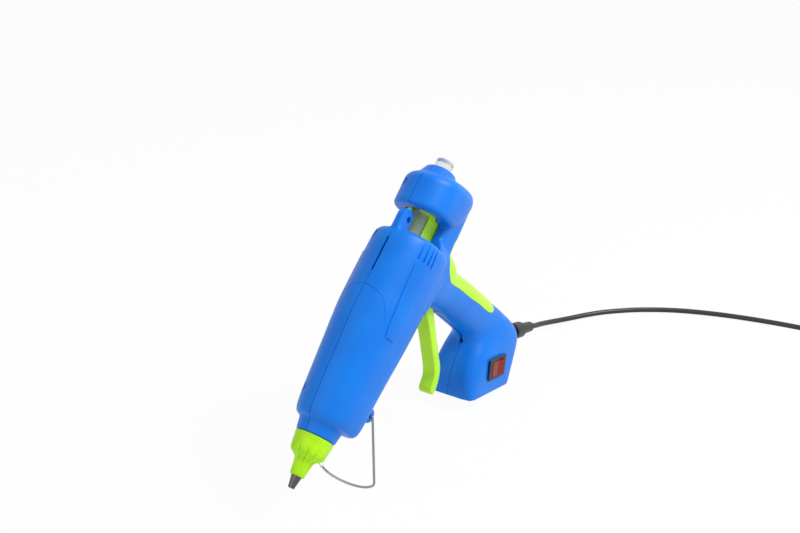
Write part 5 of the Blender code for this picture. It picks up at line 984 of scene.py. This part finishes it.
def trigger():
    knots = [Vector((PIVOT[0] - x * ARM, PIVOT[1] - z * ARM, 0)) for x, z in TRIGGER_EDGE]
    edge = [(p.x, p.y) for p in smooth_path(knots, 4)]
    blade = round_plate("trigger_lime", edge, 4.8, 1.1)
    cut(blade, across("hub", PIVOT[0], PIVOT[1], 4.75, -4.75, 4.75, 48), "UNION")
    lean = Vector((ARM_REST[0] - PIVOT[0], ARM_REST[1] - PIVOT[1])).normalized()
    side = Vector((-lean.y, lean.x)) * 3.0
    end = math.degrees(math.atan2(side.y, side.x))
    arm = [(PIVOT[0] - side.x, PIVOT[1] - side.y), (PIVOT[0] + side.x, PIVOT[1] + side.y)]
    arm += arc(ARM_REST, 3.0, end, end - 180, 16)
    cut(blade, prism("arm", arm, 2.4), "UNION")
    cut(blade, across("pin_hole", PIVOT[0], PIVOT[1], PIN_HOLE, -10, 10))
    return cut(blade, across("drive_hole", ARM_REST[0], ARM_REST[1], DRIVE_HOLE, -10, 10))


finished(trigger(), "trigger", lime_abs, "lime_abs", "trigger")

# %% [markdown]
# The other pieces keep their solids, whose forms are right, and get their finishes here. The metals first:
# turned steel that heat has browned, bright drawn wire with a nickel plate, whose grey is darker than nickel's:
# painted shade that stands in for dark reflections the white room does not give, cast aluminium with a rough
# skin, zinc-plated steel for screws and pins, and tinned brass for the contacts. A metal's colour and
# roughness do all the work, so each has its own, and its IOR stays as it is.

# %% Metals
def metal(name, colour, roughness, low, high, grain_mm, height_mm):
    made, tree, shader = new_finish(name, colour, roughness, 1.0)
    pattern = grain(tree, grain_mm)
    vary_roughness(tree, shader, pattern.outputs["Fac"], low, high)
    bump(tree, shader, pattern.outputs["Fac"], height_mm, 0.4)
    return made


nozzle_steel = metal("turned_steel_heat_darkened", "#5C5854", 0.34, 0.26, 0.42, 0.3, 0.01)
# The wire's dark grey is painted shade: it stands in for dark reflections on a metal that sees only white.
spring_wire = metal("spring_wire_nickel_painted_shade", "#8E9092", 0.2, 0.14, 0.26, 0.8, 0.005)
cast_aluminium = metal("cast_aluminium_as_cast", "#B4B5B6", 0.5, 0.42, 0.6, 0.7, 0.06)
zinc_steel = metal("steel_zinc_plated", "#B9BCC0", 0.32, 0.26, 0.4, 0.5, 0.01)
tinned_brass = metal("brass_tinned", "#C8BFA6", 0.3, 0.24, 0.36, 0.5, 0.01)
print("five metals")

# %% [markdown]
# Then the plastics: black nylon is satin, the PVC of the lead a little softer, the pressed phenolic rings are
# dull and brown, the silicone sleeve is chalky white, and the heater wears amber film. The rocker is clear
# red polycarbonate, polished, with its gloss halved like the blue's. The stick is nearly clear hot-melt.

# %% Plastics and the rest
def plastic(name, colour, roughness, ior, low, high, grain_mm, height_mm):
    made, tree, shader = new_finish(name, colour, roughness, ior=ior)
    pattern = grain(tree, grain_mm)
    vary_roughness(tree, shader, pattern.outputs["Fac"], low, high)
    bump(tree, shader, pattern.outputs["Fac"], height_mm, 0.4)
    return made, shader


black_nylon, shader = plastic("black_nylon_moulded", "#1B1B1D", 0.42, 1.53, 0.36, 0.5, 0.5, 0.03)
black_pvc, shader = plastic("black_pvc_extruded", "#161617", 0.4, 1.53, 0.34, 0.46, 0.8, 0.02)
phenolic, shader = plastic("phenolic_pressed", "#5A3A26", 0.6, 1.6, 0.52, 0.68, 0.4, 0.04)
white_silicone, shader = plastic("white_silicone_moulded", "#E2DFD8", 0.5, 1.41, 0.44, 0.56, 0.8, 0.03)
heater_film, shader = plastic("polyimide_film_wrapped", "#B5701F", 0.35, 1.7, 0.3, 0.42, 1.2, 0.02)
red_rocker, shader = plastic("red_polycarbonate_moulded", "#8E0410", 0.18, 1.585, 0.14, 0.22, 0.8, 0.01)
shader.inputs["Specular IOR Level"].default_value = 0.25
shader.inputs["Transmission Weight"].default_value = 0.15
clear_glue, tree, shader = new_finish("hot_melt_stick_extruded", "#F0F2F1", 0.16, ior=1.49)
shader.inputs["Transmission Weight"].default_value = 0.8
haze = grain(tree, 2.5)
vary_roughness(tree, shader, haze.outputs["Fac"], 0.1, 0.26)
bump(tree, shader, haze.outputs["Fac"], 0.15, 0.3)
mains_lead.data.materials.append(black_pvc)
print("seven more finishes")

# %% [markdown]
# The return spring is wound from round steel wire, seven turns between the sleeve and the slide.

# %% The return spring
SPRING_START, SPRING_END, SPRING_WIRE, SPRING_COIL, SPRING_TURNS = 102.8, 127.2, 0.5, 10.2, 7
TURN_STEPS = 24
wound = [gun(SPRING_START + (SPRING_END - SPRING_START) * i / (SPRING_TURNS * TURN_STEPS),
             SPRING_COIL * math.sin(2 * math.pi * i / TURN_STEPS),
             SPRING_COIL * math.cos(2 * math.pi * i / TURN_STEPS))
         for i in range(SPRING_TURNS * TURN_STEPS + 1)]
wire_rings = tube_rings(wound, SPRING_WIRE, 8)
spring = mesh_piece("return_spring_wound", [p for ring in wire_rings for p in ring], tube_faces(wire_rings))
finished(spring, "casing", spring_wire, "spring_wire", "return_spring")
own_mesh(spring)

# %% Each remaining solid gets its finish
WEARS = {
    "nozzle": nozzle_steel, "wire_stand": spring_wire, "glue_stick": clear_glue,
    "feed_carriage": lime_abs, "switch_housing": black_nylon, "switch_rocker": red_rocker,
    "switch_terminal_1": tinned_brass, "switch_terminal_2": tinned_brass, "strain_relief": black_nylon,
    "inner_lead": black_pvc, "cord_clamp_upper": black_nylon, "cord_clamp_lower": black_nylon,
    "melt_chamber": cast_aluminium, "heater_plate": heater_film, "heater_clip": zinc_steel,
    "front_insulator": phenolic, "rear_insulator": phenolic, "feed_sleeve": white_silicone,
    "sleeve_clip": zinc_steel, "grip_jaw": zinc_steel, "jaw_pin": zinc_steel, "trigger_pin": zinc_steel,
    "drive_pin": zinc_steel, "cord_tie": black_nylon, "plug_body": black_nylon, "plug_pin_1": tinned_brass,
    "plug_pin_2": tinned_brass,
}
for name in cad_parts:
    if name.startswith("shell_screw"):
        WEARS[name] = zinc_steel
for name, finish in WEARS.items():
    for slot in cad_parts[name].material_slots:
        slot.material = finish
print(len(WEARS), "solids dressed")
